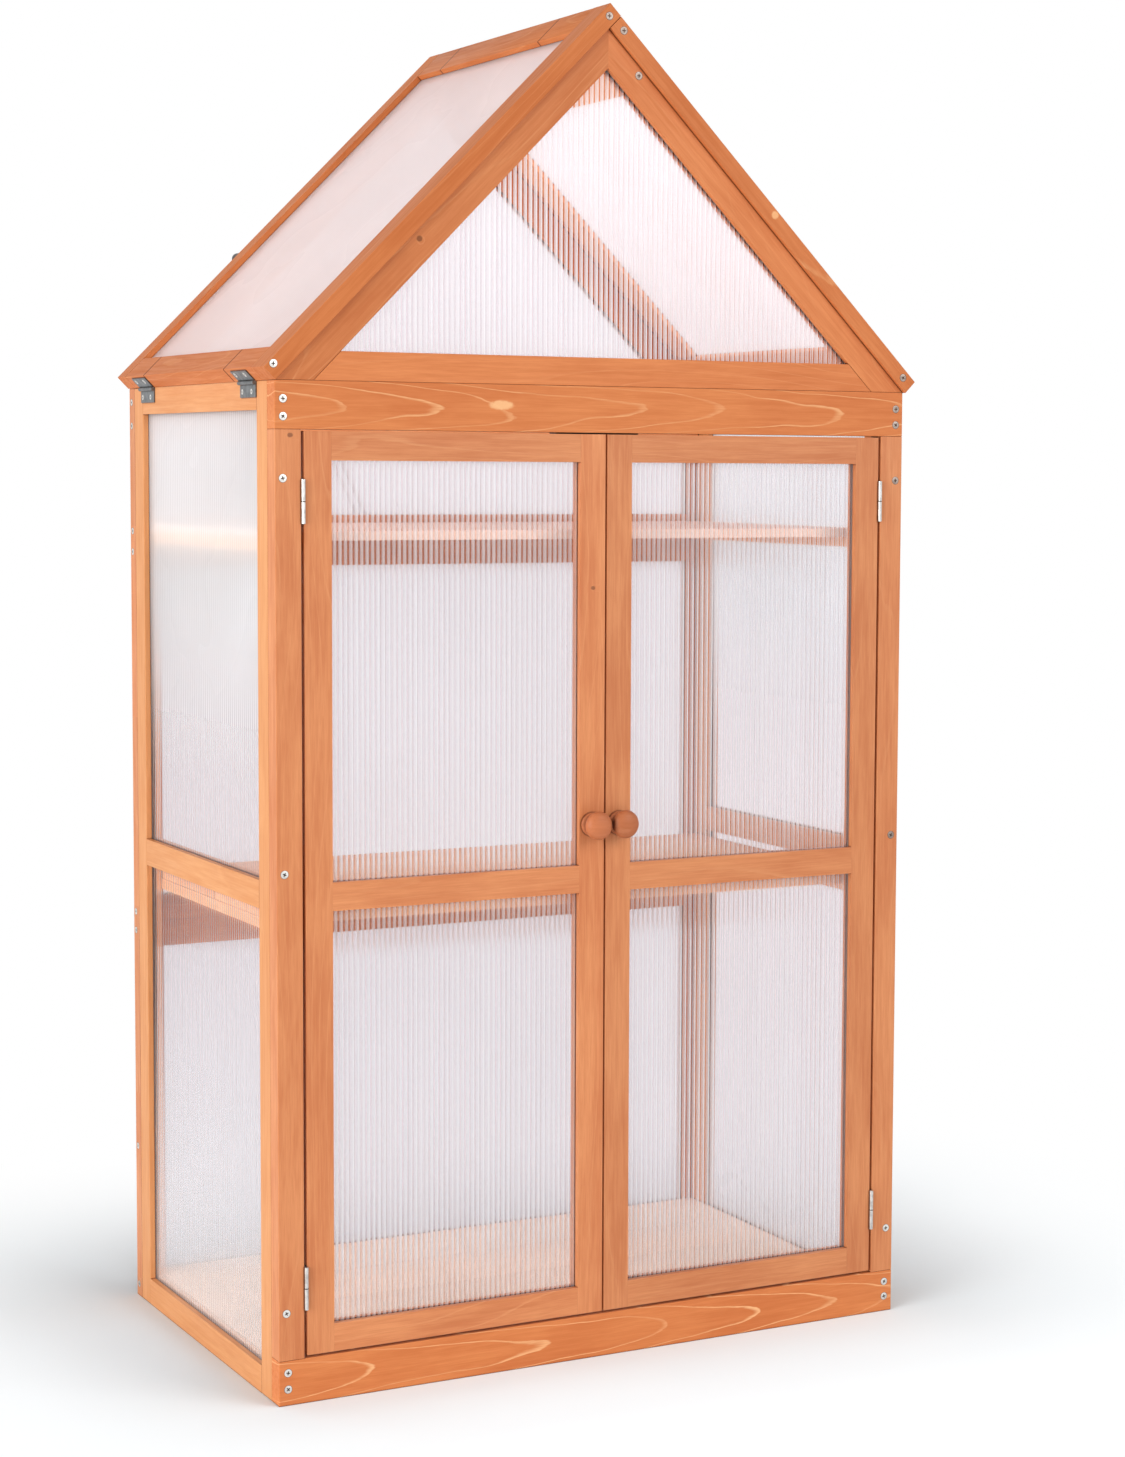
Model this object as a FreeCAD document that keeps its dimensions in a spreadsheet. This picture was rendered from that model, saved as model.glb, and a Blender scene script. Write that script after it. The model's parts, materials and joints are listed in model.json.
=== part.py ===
import FreeCAD, Part
import os
import re

import Sketcher

# Wooden mini greenhouse: a narrow cabinet of softwood frames glazed with thin twin-wall
# panes. It has two glazed doors in front, three stacked frames at the back, a gable at each
# end of a saddle roof whose left half is a lid, and two loose-board shelves over a board
# floor. X runs along the width, Y from front to back and Z up. The origin is on the ground,
# in the middle of the footprint.

DOC = FreeCAD.newDocument("mini_greenhouse")
SHEET = DOC.addObject("Spreadsheet::Sheet", "Sizes")

# Driving sizes in millimetres and degrees
SIZES = {
    # cabinet
    "body_width": 760.0,
    "body_depth": 466.0,
    "wall_height": 1068.0,
    "front_thickness": 22.0,
    "wall_thickness": 18.0,
    "member_width": 30.0,
    "post_width": 28.5,
    "header_height": 50.0,
    "plinth_height": 48.0,
    "mid_rail_foot": 519.0,
    "rear_lower_top": 448.0,
    "rear_upper_height": 176.0,
    # panes in their grooves
    "pane_thickness": 4.0,
    "pane_play": 0.2,
    "groove_depth": 7.0,
    "pane_bite": 6.5,
    "tongue_play": 0.2,
    # doors
    "door_side_gap": 3.3,
    "door_centre_gap": 2.4,
    "door_top_gap": 1.6,
    "door_bottom_gap": 3.0,
    # door knobs
    "knob_height": 594.0,
    "knob_inset": 15.3,
    "knob_head_radius": 15.5,
    "knob_face_radius": 12.0,
    "knob_neck_radius": 7.0,
    "knob_base_radius": 13.0,
    "knob_base_thickness": 4.0,
    "knob_neck_end": 13.0,
    "knob_rim_end": 22.5,
    "knob_projection": 26.0,
    "knob_screw_radius": 2.0,
    "knob_screw_head_radius": 4.0,
    "knob_screw_head": 2.4,
    "knob_screw_reach": 12.0,
    "bore_play": 0.1,
    # hinges, alike on the doors and the lid
    "hinge_length": 45.5,
    "hinge_leaf_width": 13.0,
    "hinge_leaf_thickness": 1.3,
    "knuckle_radius": 2.2,
    "pin_radius": 1.2,
    "pin_play": 0.05,
    "knuckle_gap": 0.3,
    "door_axis_forward": 1.9,
    "hinge_inset": 49.3,
    "lid_axis_reach": 2.5,
    "front_lid_hinge": 51.0,
    "rear_lid_hinge": 375.0,
    # gables
    "gable_rail_height": 30.5,
    # roof slabs
    "roof_pitch": 45.0,
    "slab_thickness": 18.0,
    "lid_gap": 0.5,
    "eave_reach": 13.5,
    "roof_front_overhang": 5.0,
    "roof_rear_overhang": 2.0,
    "ridge_rail_width": 40.0,
    "eave_rail_width": 31.0,
    "front_roof_rafter": 38.0,
    "rear_roof_rafter": 28.0,
    "front_corner_block": 81.0,
    "rear_corner_block": 65.0,
    # lid stay
    "lid_opening": 80.0,
    "stay_station": 345.0,
    "stay_bar_width": 14.0,
    "stay_bar_thickness": 2.0,
    "stay_bar_gap": 0.3,
    "stay_end_margin": 2.0,
    "stay_bolt_radius": 2.5,
    "stay_slot_play": 0.5,
    "stay_bolt_reach": 14.0,
    "stay_knob_radius": 7.0,
    "stay_knob_depth": 18.0,
    "stay_collar_radius": 5.0,
    "stay_collar_depth": 3.4,
    "stay_screw_head_radius": 5.0,
    "stay_screw_head": 2.5,
    # shelves and floor
    "board_thickness": 10.0,
    "board_count": 4,
    "board_side_gap": 0.5,
    "board_joint": 1.2,
    "upper_shelf_drop": 155.0,
    "middle_shelf_top": 512.0,
    "floor_top": 33.0,
    "shelf_front_gap": 17.0,
    "shelf_rear_gap": 5.0,
    "floor_end_gap": 0.6,
    "cleat_width": 18.0,
    "cleat_height": 12.0,
    # magnetic door catch
    "catch_half_width": 50.0,
    "catch_depth": 16.0,
    "catch_drop": 18.0,
    "catch_lap": 14.0,
    "magnet_start": 8.0,
    "magnet_length": 34.0,
    "magnet_inset": 2.0,
    "magnet_height": 12.0,
    "strike_thickness": 1.5,
    "magnet_gap": 0.3,
}

# Places worked out from the driving sizes
DERIVED = {
    "half_width": "body_width / 2",
    "front": "-body_depth / 2",
    "rear": "body_depth / 2",
    "wall_front": "front + front_thickness",
    "wall_rear": "rear - wall_thickness",
    "side_depth": "body_depth - front_thickness - wall_thickness",
    "post_face": "half_width - post_width",
    "groove_width": "pane_thickness + 2 * pane_play",
    "tongue_face": "(wall_thickness - groove_width) / 2 + tongue_play",
    "tongue_back": "(wall_thickness + groove_width) / 2 - tongue_play",
    "tongue_length": "groove_depth - tongue_play",
    "pane_inset": "(wall_thickness - pane_thickness) / 2",
    "post_height": "wall_height - header_height - plinth_height",
    "rear_middle_top": "wall_height - rear_upper_height",
    "upper_shelf_top": "wall_height - upper_shelf_drop",
    # doors
    "door_width": "post_face - door_side_gap - door_centre_gap / 2",
    "door_foot": "plinth_height + door_bottom_gap",
    "door_top": "wall_height - header_height - door_top_gap",
    "lower_hinge_foot": "door_foot + hinge_inset",
    "upper_hinge_foot": "door_top - hinge_inset - hinge_length",
    "door_axis_x": "post_face - door_side_gap / 2",
    "door_axis_y": "front - door_axis_forward",
    "leaf_start": "front + knuckle_radius - door_axis_forward + knuckle_gap",
    "half_knuckle": "(hinge_length - knuckle_gap) / 2",
    "pin_bore_radius": "pin_radius + pin_play",
    "knob_x": "door_centre_gap / 2 + knob_inset",
    # gables
    "apex_height": "wall_height + half_width * tan(roof_pitch)",
    "opening_apex": "apex_height - member_width / cos(roof_pitch)",
    "gable_rail_top": "wall_height + gable_rail_height",
    "rafter_foot": "(opening_apex - wall_height) / tan(roof_pitch)",
    # roof
    "roof_front": "front - roof_front_overhang",
    "roof_rear": "rear + roof_rear_overhang",
    "lid_tip_x": "-lid_gap / (2 * sin(roof_pitch))",
    "lid_tip_z": "apex_height + slab_thickness / cos(roof_pitch) + lid_gap / (2 * cos(roof_pitch))",
    "fixed_tip_x": "slab_thickness / (2 * sin(roof_pitch))",
    "fixed_tip_z": "apex_height + slab_thickness / (2 * cos(roof_pitch))",
    "ridge_bevel": "-slab_thickness * cos(2 * roof_pitch) / sin(2 * roof_pitch)",
    "eave_tip": "half_width + eave_reach",
    "lid_length": "(eave_tip + lid_tip_x) / cos(roof_pitch)",
    "fixed_length": "(eave_tip - fixed_tip_x) / cos(roof_pitch)",
    "panel_front": "roof_front + front_roof_rafter",
    "panel_rear": "roof_rear - rear_roof_rafter",
    "slab_groove_low": "(slab_thickness - groove_width) / 2",
    "slab_groove_high": "(slab_thickness + groove_width) / 2",
    "slab_pane_low": "(slab_thickness - pane_thickness) / 2",
    "slab_pane_high": "(slab_thickness + pane_thickness) / 2",
    "middle_eave_front": "panel_front + front_corner_block",
    "middle_eave_rear": "panel_rear - rear_corner_block",
    # lid hinge axis, outside the corner of wall and lid
    "lid_axis_s": "lid_length + lid_axis_reach",
    "lid_axis_x": "-half_width - lid_axis_reach",
    "lid_axis_t": "(lid_axis_x - lid_tip_x + cos(roof_pitch) * lid_axis_s) / sin(roof_pitch)",
    "lid_axis_z": "lid_tip_z - sin(roof_pitch) * lid_axis_s - cos(roof_pitch) * lid_axis_t",
    # stay: its knob and its screw lie on one circle about the lid's axis, so that the bar
    # always turns by half the angle of the lid
    "stay_knob_x": "lid_tip_x - cos(roof_pitch) * stay_station + sin(roof_pitch) * slab_thickness / 2",
    "stay_knob_z": "lid_tip_z - sin(roof_pitch) * stay_station - cos(roof_pitch) * slab_thickness / 2",
    "stay_radius": "sqrt((stay_knob_x - lid_axis_x) ^ 2 + (stay_knob_z - lid_axis_z) ^ 2)",
    "stay_screw_z": "wall_height + gable_rail_height / 2",
    "stay_screw_x": "lid_axis_x + sqrt(stay_radius ^ 2 - (stay_screw_z - lid_axis_z) ^ 2)",
    "stay_high_angle": "asin((stay_knob_z - lid_axis_z) / stay_radius) / 1 deg",
    "stay_low_angle": "asin((stay_screw_z - lid_axis_z) / stay_radius) / 1 deg",
    "stay_closed": "2 * stay_radius * sin((stay_high_angle - stay_low_angle) / 2)",
    "stay_open": "2 * stay_radius * sin((stay_high_angle - stay_low_angle + lid_opening) / 2)",
    "stay_slot_radius": "stay_bolt_radius + stay_slot_play",
    "stay_bar_front": "roof_rear + stay_bar_gap",
    "stay_bar_rear": "stay_bar_front + stay_bar_thickness",
    "stay_collar_front": "stay_bar_rear + stay_bar_gap",
    # shelves
    "board_length": "body_width - 2 * wall_thickness - 2 * board_side_gap",
    "catch_foot": "wall_height - header_height - catch_drop",
    "catch_height": "catch_drop + catch_lap",
    "magnet_foot": "catch_foot + magnet_inset",
    "door_back": "front + wall_thickness",
    "magnet_front": "door_back + strike_thickness + magnet_gap",
}

NODES = []


def fill_sheet():
    """Write every driving size into the sheet as a plain number with an alias."""
    for row, (alias, value) in enumerate(SIZES.items(), start=1):
        SHEET.set("A%d" % row, alias)
        SHEET.set("B%d" % row, str(value))
        SHEET.setAlias("B%d" % row, alias)
    DOC.recompute()


def bound(text):
    """Spell a size written with the plain names as an expression over the sheet."""
    def spell(match):
        word = match.group(0)
        if word in DERIVED:
            return "(" + bound(DERIVED[word]) + ")"
        return "Sizes." + word if word in SIZES else word
    return re.sub(r"[a-z][a-z_0-9]*", spell, text)


def number(text):
    """Present value of a size written with the plain names."""
    return float(SHEET.evalExpression(bound(text)))


def bind(thing, path, text):
    thing.setExpression(path, bound(text))


def node(thing):
    """Keep a finished sub-part under its own name."""
    NODES.append(thing)
    return thing


def new_body(label, at=("0", "0", "0")):
    body = DOC.addObject("PartDesign::Body", label)
    body.Label = label
    for axis, place in zip("xyz", at):
        if place != "0":
            bind(body, "Placement.Base." + axis, place)
    return body


def new_sketch(body, plane, start):
    """Empty sketch on a plane of the body's own origin, moved along that plane's axis."""
    sketch = body.newObject("Sketcher::SketchObject", body.Name + "_outline")
    support = [item for item in body.Origin.OriginFeatures if item.Role == plane + "_Plane"][0]
    sketch.AttachmentSupport = (support, [""])
    sketch.MapMode = "FlatFace"
    if start != "0":
        sign = "-" if plane == "XZ" else ""
        bind(sketch, "AttachmentOffset.Base.z", sign + "(" + start + ")")
    return sketch


def pin_point(sketch, edge, end, place, name):
    """Tie one point of the sketch to its two expressions."""
    for axis, text in zip("XY", place):
        if text == "0":
            sketch.addConstraint(
                Sketcher.Constraint("PointOnObject", edge, end, -2 if axis == "X" else -1))
            continue
        label = axis.lower() + name
        index = sketch.addConstraint(
            Sketcher.Constraint("Distance" + axis, -1, 1, edge, end, number(text)))
        sketch.renameConstraint(index, label)
        bind(sketch, "Constraints." + label, text)


def draw_outline(sketch, points):
    """Closed outline of straight lines through the points."""
    places = [FreeCAD.Vector(number(point[0]), number(point[1]), 0) for point in points]
    count = len(points)
    for index, start in enumerate(places):
        sketch.addGeometry(Part.LineSegment(start, places[(index + 1) % count]))
    for index in range(count):
        sketch.addConstraint(Sketcher.Constraint("Coincident", index, 2, (index + 1) % count, 1))
    for index, point in enumerate(points):
        pin_point(sketch, index, 1, point, str(index))


def draw_circle(sketch, centre, radius):
    middle = FreeCAD.Vector(number(centre[0]), number(centre[1]), 0)
    edge = sketch.addGeometry(Part.Circle(middle, FreeCAD.Vector(0, 0, 1), number(radius)))
    pin_point(sketch, edge, 3, centre, "centre")
    constraint = sketch.addConstraint(Sketcher.Constraint("Radius", edge, number(radius)))
    sketch.renameConstraint(constraint, "radius")
    bind(sketch, "Constraints.radius", radius)


def extrude(kind, body, sketch, plane, length):
    """Pad or pocket that runs from its sketch towards the positive end of the axis."""
    feature = body.newObject("PartDesign::" + kind, body.Name + "_" + kind.lower())
    feature.Profile = sketch
    bind(feature, "Length", length)
    feature.Reversed = (kind == "Pad") == (plane == "XZ")
    sketch.Visibility = False
    return feature


def pad(body, plane, points, start, length):
    sketch = new_sketch(body, plane, start)
    draw_outline(sketch, points)
    return extrude("Pad", body, sketch, plane, length)


def pocket(body, plane, points, start, length):
    sketch = new_sketch(body, plane, start)
    draw_outline(sketch, points)
    return extrude("Pocket", body, sketch, plane, length)


def round_pad(body, plane, centre, radius, start, length):
    sketch = new_sketch(body, plane, start)
    draw_circle(sketch, centre, radius)
    return extrude("Pad", body, sketch, plane, length)


def round_pocket(body, plane, centre, radius, start, length):
    sketch = new_sketch(body, plane, start)
    draw_circle(sketch, centre, radius)
    return extrude("Pocket", body, sketch, plane, length)


def box(label, at, size):
    """Plain rectangular piece."""
    piece = DOC.addObject("Part::Box", label)
    piece.Label = label
    for axis, place in zip("xyz", at):
        bind(piece, "Placement.Base." + axis, place)
    for side, text in zip(("Length", "Width", "Height"), size):
        bind(piece, side, text)
    return piece


def group(label, pieces):
    """One node for several alike pieces, which stay separate solids."""
    compound = DOC.addObject("Part::Compound", label)
    compound.Label = label
    compound.Links = pieces
    return node(compound)


def rectangle(low_a, low_b, high_a, high_b):
    return [(low_a, low_b), (high_a, low_b), (high_a, high_b), (low_a, high_b)]


def grooved_section(wide, deep, sides):
    """Section of a frame member, with a pane groove in the middle of each named side."""
    low_deep = "(%s - groove_width) / 2" % deep
    high_deep = "(%s + groove_width) / 2" % deep
    low_wide = "(%s - groove_width) / 2" % wide
    high_wide = "(%s + groove_width) / 2" % wide
    inner_wide = wide + " - groove_depth"
    inner_deep = deep + " - groove_depth"
    notches = {
        "low_b": [(low_wide, "0"), (low_wide, "groove_depth"),
                  (high_wide, "groove_depth"), (high_wide, "0")],
        "high_a": [(wide, low_deep), (inner_wide, low_deep),
                   (inner_wide, high_deep), (wide, high_deep)],
        "high_b": [(high_wide, deep), (high_wide, inner_deep),
                   (low_wide, inner_deep), (low_wide, deep)],
        "low_a": [("0", high_deep), ("groove_depth", high_deep),
                  ("groove_depth", low_deep), ("0", low_deep)],
    }
    corners = rectangle("0", "0", wide, deep)
    points = []
    for corner, side in zip(corners, ("low_b", "high_a", "high_b", "low_a")):
        points.append(corner)
        if side in sides:
            points.extend(notches[side])
    return points


def stile(label, across, at, height, inner):
    """Upright member of a frame; its groove faces the inner side, low or high."""
    body = new_body(label, at)
    if across == "X":
        section = grooved_section("member_width", "wall_thickness", [inner + "_a"])
    else:
        section = grooved_section("wall_thickness", "member_width", [inner + "_b"])
    pad(body, "XY", section, "0", height)
    return body


def rail(label, across, at, length, grooves):
    """Level member of a frame with grooves low or high and a tongue at each end."""
    plane = "YZ" if across == "X" else "XZ"
    body = new_body(label, at)
    sides = [side + "_b" for side in grooves]
    section = grooved_section("wall_thickness", "member_width", sides)
    pad(body, plane, section, "0", length)
    foot = "groove_depth" if "low" in grooves else "0"
    head = "member_width - groove_depth" if "high" in grooves else "member_width"
    tongue = rectangle("tongue_face", foot, "tongue_back", head)
    pad(body, plane, tongue, "-tongue_length", length + " + 2 * tongue_length")
    return body


def frame_pane(label, across, at, span, foot, head):
    """Pane that fills the opening from foot to head and enters the grooves round it."""
    x, y = at
    across_size = span + " - 2 * member_width + 2 * pane_bite"
    start = " + member_width - pane_bite"
    size_z = "(%s) - (%s) + 2 * pane_bite" % (head, foot)
    at_z = "(%s) - pane_bite" % foot
    if across == "X":
        return box(label, (x + start, y + " + pane_inset", at_z),
                   (across_size, "pane_thickness", size_z))
    return box(label, (x + " + pane_inset", y + start, at_z),
               ("pane_thickness", across_size, size_z))


def frame_pieces(name, across, at, span, foot, head, mid_rails=()):
    """Stiles, rails and panes of one glazed frame; mid_rails holds the feet of its middle rails."""
    x, y = at
    height = "(%s) - (%s)" % (head, foot)
    far = " + %s - member_width" % span
    far_at = (x + far, y, foot) if across == "X" else (x, y + far, foot)
    stiles = [stile(name + "_low_stile", across, (x, y, foot), height, "high"),
              stile(name + "_far_stile", across, far_at, height, "low")]
    rail_x = x + " + member_width" if across == "X" else x
    rail_y = y if across == "X" else y + " + member_width"
    length = span + " - 2 * member_width"
    feet = [foot] + list(mid_rails) + [head + " - member_width"]
    rails = []
    for index, rail_foot in enumerate(feet):
        grooves = ["low", "high"]
        if index == 0:
            grooves = ["high"]
        if index == len(feet) - 1:
            grooves = ["low"]
        rails.append(rail("%s_rail_%d" % (name, index + 1), across,
                          (rail_x, rail_y, rail_foot), length, grooves))
    panes = []
    for index in range(len(feet) - 1):
        panes.append(frame_pane("%s_pane_%d" % (name, index + 1), across, at, span,
                                feet[index] + " + member_width", feet[index + 1]))
    return stiles, rails, panes


def face_frame():
    """Posts, header and plinth that frame the two doors."""
    for side, foot_x in (("left", "-half_width"), ("right", "post_face")):
        node(box(side + "_post", (foot_x, "front", "plinth_height"),
                 ("post_width", "front_thickness", "post_height")))
    node(box("header", ("-half_width", "front", "wall_height - header_height"),
             ("body_width", "front_thickness", "header_height")))
    node(box("plinth", ("-half_width", "front", "0"),
             ("body_width", "front_thickness", "plinth_height")))


def side_walls():
    """Two glazed side frames of two panes each, between face frame and rear wall."""
    for side, foot_x in (("left", "-half_width"), ("right", "half_width - wall_thickness")):
        name = side + "_side"
        stiles, rails, panes = frame_pieces(
            name, "Y", (foot_x, "wall_front"), "side_depth", "0", "wall_height", ["mid_rail_foot"])
        group(name + "_stiles", stiles)
        group(name + "_rails", rails)
        group(name + "_panes", panes)


def rear_wall():
    """Three glazed frames stacked on each other across the full width."""
    levels = (("lower", "0", "rear_lower_top"),
              ("middle", "rear_lower_top", "rear_middle_top"),
              ("upper", "rear_middle_top", "wall_height"))
    all_panes = []
    for level, foot, head in levels:
        stiles, rails, panes = frame_pieces(
            "rear_" + level, "X", ("-half_width", "wall_rear"), "body_width", foot, head)
        group("rear_%s_frame" % level, stiles + rails)
        all_panes += panes
    group("rear_panes", all_panes)


def gable_triangle(offset):
    """Gable opening, grown on all sides by the offset."""
    foot = "gable_rail_top - %s" % offset
    apex = "opening_apex + %s / cos(roof_pitch)" % offset
    reach = "((%s) - (%s)) / tan(roof_pitch)" % (apex, foot)
    return [("-(%s)" % reach, foot), (reach, foot), ("0", apex)]


def gable(end, face):
    """Two mitred rafters and a bottom rail round a triangular pane."""
    groove_face = face + " + pane_inset - pane_play"
    rafters = []
    for side, sign in (("left", "-"), ("right", "")):
        body = new_body("%s_gable_%s_rafter" % (end, side))
        outline = [(sign + "half_width", "wall_height"), (sign + "rafter_foot", "wall_height"),
                   ("0", "opening_apex"), ("0", "apex_height")]
        pad(body, "XZ", outline, face, "wall_thickness")
        pocket(body, "XZ", gable_triangle("groove_depth"), groove_face, "groove_width")
        rafters.append(body)
    group(end + "_gable_rafters", rafters)
    foot_rail = new_body(end + "_gable_rail")
    head_reach = "(opening_apex - gable_rail_top) / tan(roof_pitch)"
    outline = [("-rafter_foot", "wall_height"), ("rafter_foot", "wall_height"),
               (head_reach, "gable_rail_top"), ("-(%s)" % head_reach, "gable_rail_top")]
    pad(foot_rail, "XZ", outline, face, "wall_thickness")
    pocket(foot_rail, "XZ", gable_triangle("groove_depth"), groove_face, "groove_width")
    if end == "rear":
        round_pocket(foot_rail, "XZ", ("stay_screw_x", "stay_screw_z"),
                     "stay_bolt_radius + bore_play", "rear - stay_bolt_reach", "stay_bolt_reach")
    node(foot_rail)
    pane = new_body(end + "_gable_pane")
    pad(pane, "XZ", gable_triangle("pane_bite"), face + " + pane_inset", "pane_thickness")
    node(pane)


def lid_point(along, depth):
    """Point of the lid's section: along the slope from the ridge tip, depth under its skin."""
    return ("lid_tip_x - cos(roof_pitch) * (%s) + sin(roof_pitch) * (%s)" % (along, depth),
            "lid_tip_z - sin(roof_pitch) * (%s) - cos(roof_pitch) * (%s)" % (along, depth))


def fixed_point(along, depth):
    """The same for the fixed half of the roof, which slopes down to the right."""
    return ("fixed_tip_x + cos(roof_pitch) * (%s) - sin(roof_pitch) * (%s)" % (along, depth),
            "fixed_tip_z - sin(roof_pitch) * (%s) - cos(roof_pitch) * (%s)" % (along, depth))


def slab_strip(point, start, end, low="0", high="slab_thickness"):
    """Four corners of a strip of a roof slab's section."""
    return [point(start, low), point(end, low), point(end, high), point(start, high)]


def ridge_section(point):
    """Ridge rail's section: its upper end is cut to the ridge, its lower side has a groove."""
    edge = "ridge_rail_width"
    inner = "ridge_rail_width - groove_depth"
    return [point("0", "0"), point(edge, "0"),
            point(edge, "slab_groove_low"), point(inner, "slab_groove_low"),
            point(inner, "slab_groove_high"), point(edge, "slab_groove_high"),
            point(edge, "slab_thickness"), point("ridge_bevel", "slab_thickness")]


def eave_section(point, length):
    """Eave rail's section with the groove in its upper side."""
    edge = length + " - eave_rail_width"
    inner = length + " - eave_rail_width + groove_depth"
    return [point(edge, "0"), point(length, "0"), point(length, "slab_thickness"),
            point(edge, "slab_thickness"), point(edge, "slab_groove_high"),
            point(inner, "slab_groove_high"), point(inner, "slab_groove_low"),
            point(edge, "slab_groove_low")]


def roof_rafters(name, point, length):
    """Front and rear members of a slab, from ridge to eave, with a stopped groove inside."""
    outline = [point("0", "0"), point(length, "0"), point(length, "slab_thickness"),
               point("ridge_bevel", "slab_thickness")]
    groove = slab_strip(point, "ridge_rail_width - groove_depth",
                        length + " - eave_rail_width + groove_depth",
                        "slab_groove_low", "slab_groove_high")
    ends = (("front", "roof_front", "front_roof_rafter", "panel_front - groove_depth"),
            ("rear", "panel_rear", "rear_roof_rafter", "panel_rear"))
    rafters = []
    for end, start, width, groove_start in ends:
        body = new_body("%s_%s_rafter" % (name, end))
        pad(body, "XZ", outline, start, width)
        pocket(body, "XZ", groove, groove_start, "groove_depth")
        rafters.append(body)
    return rafters


def roof_pane(label, point, length):
    body = new_body(label)
    strip = slab_strip(point, "ridge_rail_width - pane_bite",
                       length + " - eave_rail_width + pane_bite",
                       "slab_pane_low", "slab_pane_high")
    pad(body, "XZ", strip, "panel_front - pane_bite", "panel_rear - panel_front + 2 * pane_bite")
    return node(body)


def along_y(label, section, start, end):
    """Member with one section that runs from front to back."""
    body = new_body(label)
    pad(body, "XZ", section, start, "(%s) - (%s)" % (end, start))
    return body


def fixed_roof():
    """Right half of the roof, fastened on the gables."""
    group("roof_rafters", roof_rafters("roof", fixed_point, "fixed_length"))
    node(along_y("roof_ridge_rail", ridge_section(fixed_point), "panel_front", "panel_rear"))
    node(along_y("roof_eave_rail", eave_section(fixed_point, "fixed_length"),
                 "panel_front", "panel_rear"))
    roof_pane("roof_pane", fixed_point, "fixed_length")


def lid():
    """Left half of the roof: its eave member is a rail between two corner blocks."""
    rafters = roof_rafters("lid", lid_point, "lid_length")
    round_pocket(rafters[1], "XZ", ("stay_knob_x", "stay_knob_z"),
                 "stay_bolt_radius + stay_slot_play",
                 "roof_rear - stay_bolt_reach - bore_play", "stay_bolt_reach + bore_play")
    group("lid_rafters", rafters)
    node(along_y("lid_ridge_rail", ridge_section(lid_point), "panel_front", "panel_rear"))
    section = eave_section(lid_point, "lid_length")
    node(along_y("lid_eave_rail", section, "middle_eave_front", "middle_eave_rear"))
    group("lid_corner_blocks", [
        along_y("lid_front_block", section, "panel_front", "middle_eave_front"),
        along_y("lid_rear_block", section, "middle_eave_rear", "panel_rear")])
    roof_pane("lid_pane", lid_point, "lid_length")


def hinge_leaf(label, plane, plate, web, axis, start, knuckle_start):
    """Leaf with half of the barrel: a full-length plate and a short web into the knuckle."""
    body = new_body(label)
    pad(body, plane, plate, start, "hinge_length")
    pad(body, plane, web, knuckle_start, "half_knuckle")
    round_pad(body, plane, axis, "knuckle_radius", knuckle_start, "half_knuckle")
    round_pocket(body, plane, axis, "pin_bore_radius", knuckle_start, "half_knuckle")
    return body


def hinge_pin(label, plane, axis, start):
    body = new_body(label)
    round_pad(body, plane, axis, "pin_radius", start, "hinge_length")
    return body


def door_hinges():
    """Two lift-off hinges per door in the gap between its edge and the post."""
    frame_leaves = []
    pins = []
    for side, sign in (("left", "-"), ("right", "")):
        door_leaves = []
        axis = (sign + "door_axis_x", "door_axis_y")
        post_side = (sign + "post_face", sign + "(post_face - hinge_leaf_thickness)")
        door_side = (sign + "(post_face - door_side_gap)",
                     sign + "(post_face - door_side_gap + hinge_leaf_thickness)")
        for level in ("lower", "upper"):
            foot = level + "_hinge_foot"
            upper_half = foot + " + half_knuckle + knuckle_gap"
            leaves = (("frame", post_side, foot, frame_leaves),
                      ("door", door_side, upper_half, door_leaves))
            for owner, (back, face), knuckle_start, pieces in leaves:
                plate = rectangle(back, "leaf_start", face, "leaf_start + hinge_leaf_width")
                web = rectangle(back, "door_axis_y", face, "leaf_start + knuckle_gap")
                pieces.append(hinge_leaf("%s_%s_%s_leaf" % (side, level, owner), "XY",
                                         plate, web, axis, foot, knuckle_start))
            pins.append(hinge_pin("%s_%s_hinge_pin" % (side, level), "XY", axis, foot))
        group(side + "_door_hinge_leaves", door_leaves)
    group("door_frame_hinge_leaves", frame_leaves)
    group("door_hinge_pins", pins)


def lid_hinges():
    """Two hinges at the left eave, outside the corner of wall and lid."""
    wall_leaves = []
    lid_leaves = []
    pins = []
    axis = ("lid_axis_x", "lid_axis_z")
    wall_face = "-half_width"
    wall_skin = "-half_width - hinge_leaf_thickness"
    lid_skin = "lid_length + hinge_leaf_thickness"
    leaf_top = "lid_axis_z - knuckle_radius"
    leaf_low = "lid_axis_t - knuckle_radius"
    wall_plate = rectangle(wall_face, leaf_top + " - hinge_leaf_width", wall_skin, leaf_top)
    wall_web = rectangle(wall_face, leaf_top + " - knuckle_gap", wall_skin, "lid_axis_z")
    lid_plate = slab_strip(lid_point, "lid_length", lid_skin,
                           leaf_low + " - hinge_leaf_width", leaf_low)
    lid_web = slab_strip(lid_point, "lid_length", lid_skin,
                         leaf_low + " - knuckle_gap", "lid_axis_t")
    for end in ("front", "rear"):
        start = "front + %s_lid_hinge" % end
        second = start + " + half_knuckle + knuckle_gap"
        wall_leaves.append(hinge_leaf(end + "_wall_leaf", "XZ", wall_plate, wall_web,
                                      axis, start, start))
        lid_leaves.append(hinge_leaf(end + "_lid_leaf", "XZ", lid_plate, lid_web,
                                     axis, start, second))
        pins.append(hinge_pin(end + "_lid_pin", "XZ", axis, start))
    group("lid_wall_hinge_leaves", wall_leaves)
    group("lid_hinge_leaves", lid_leaves)
    group("lid_hinge_pins", pins)


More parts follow.
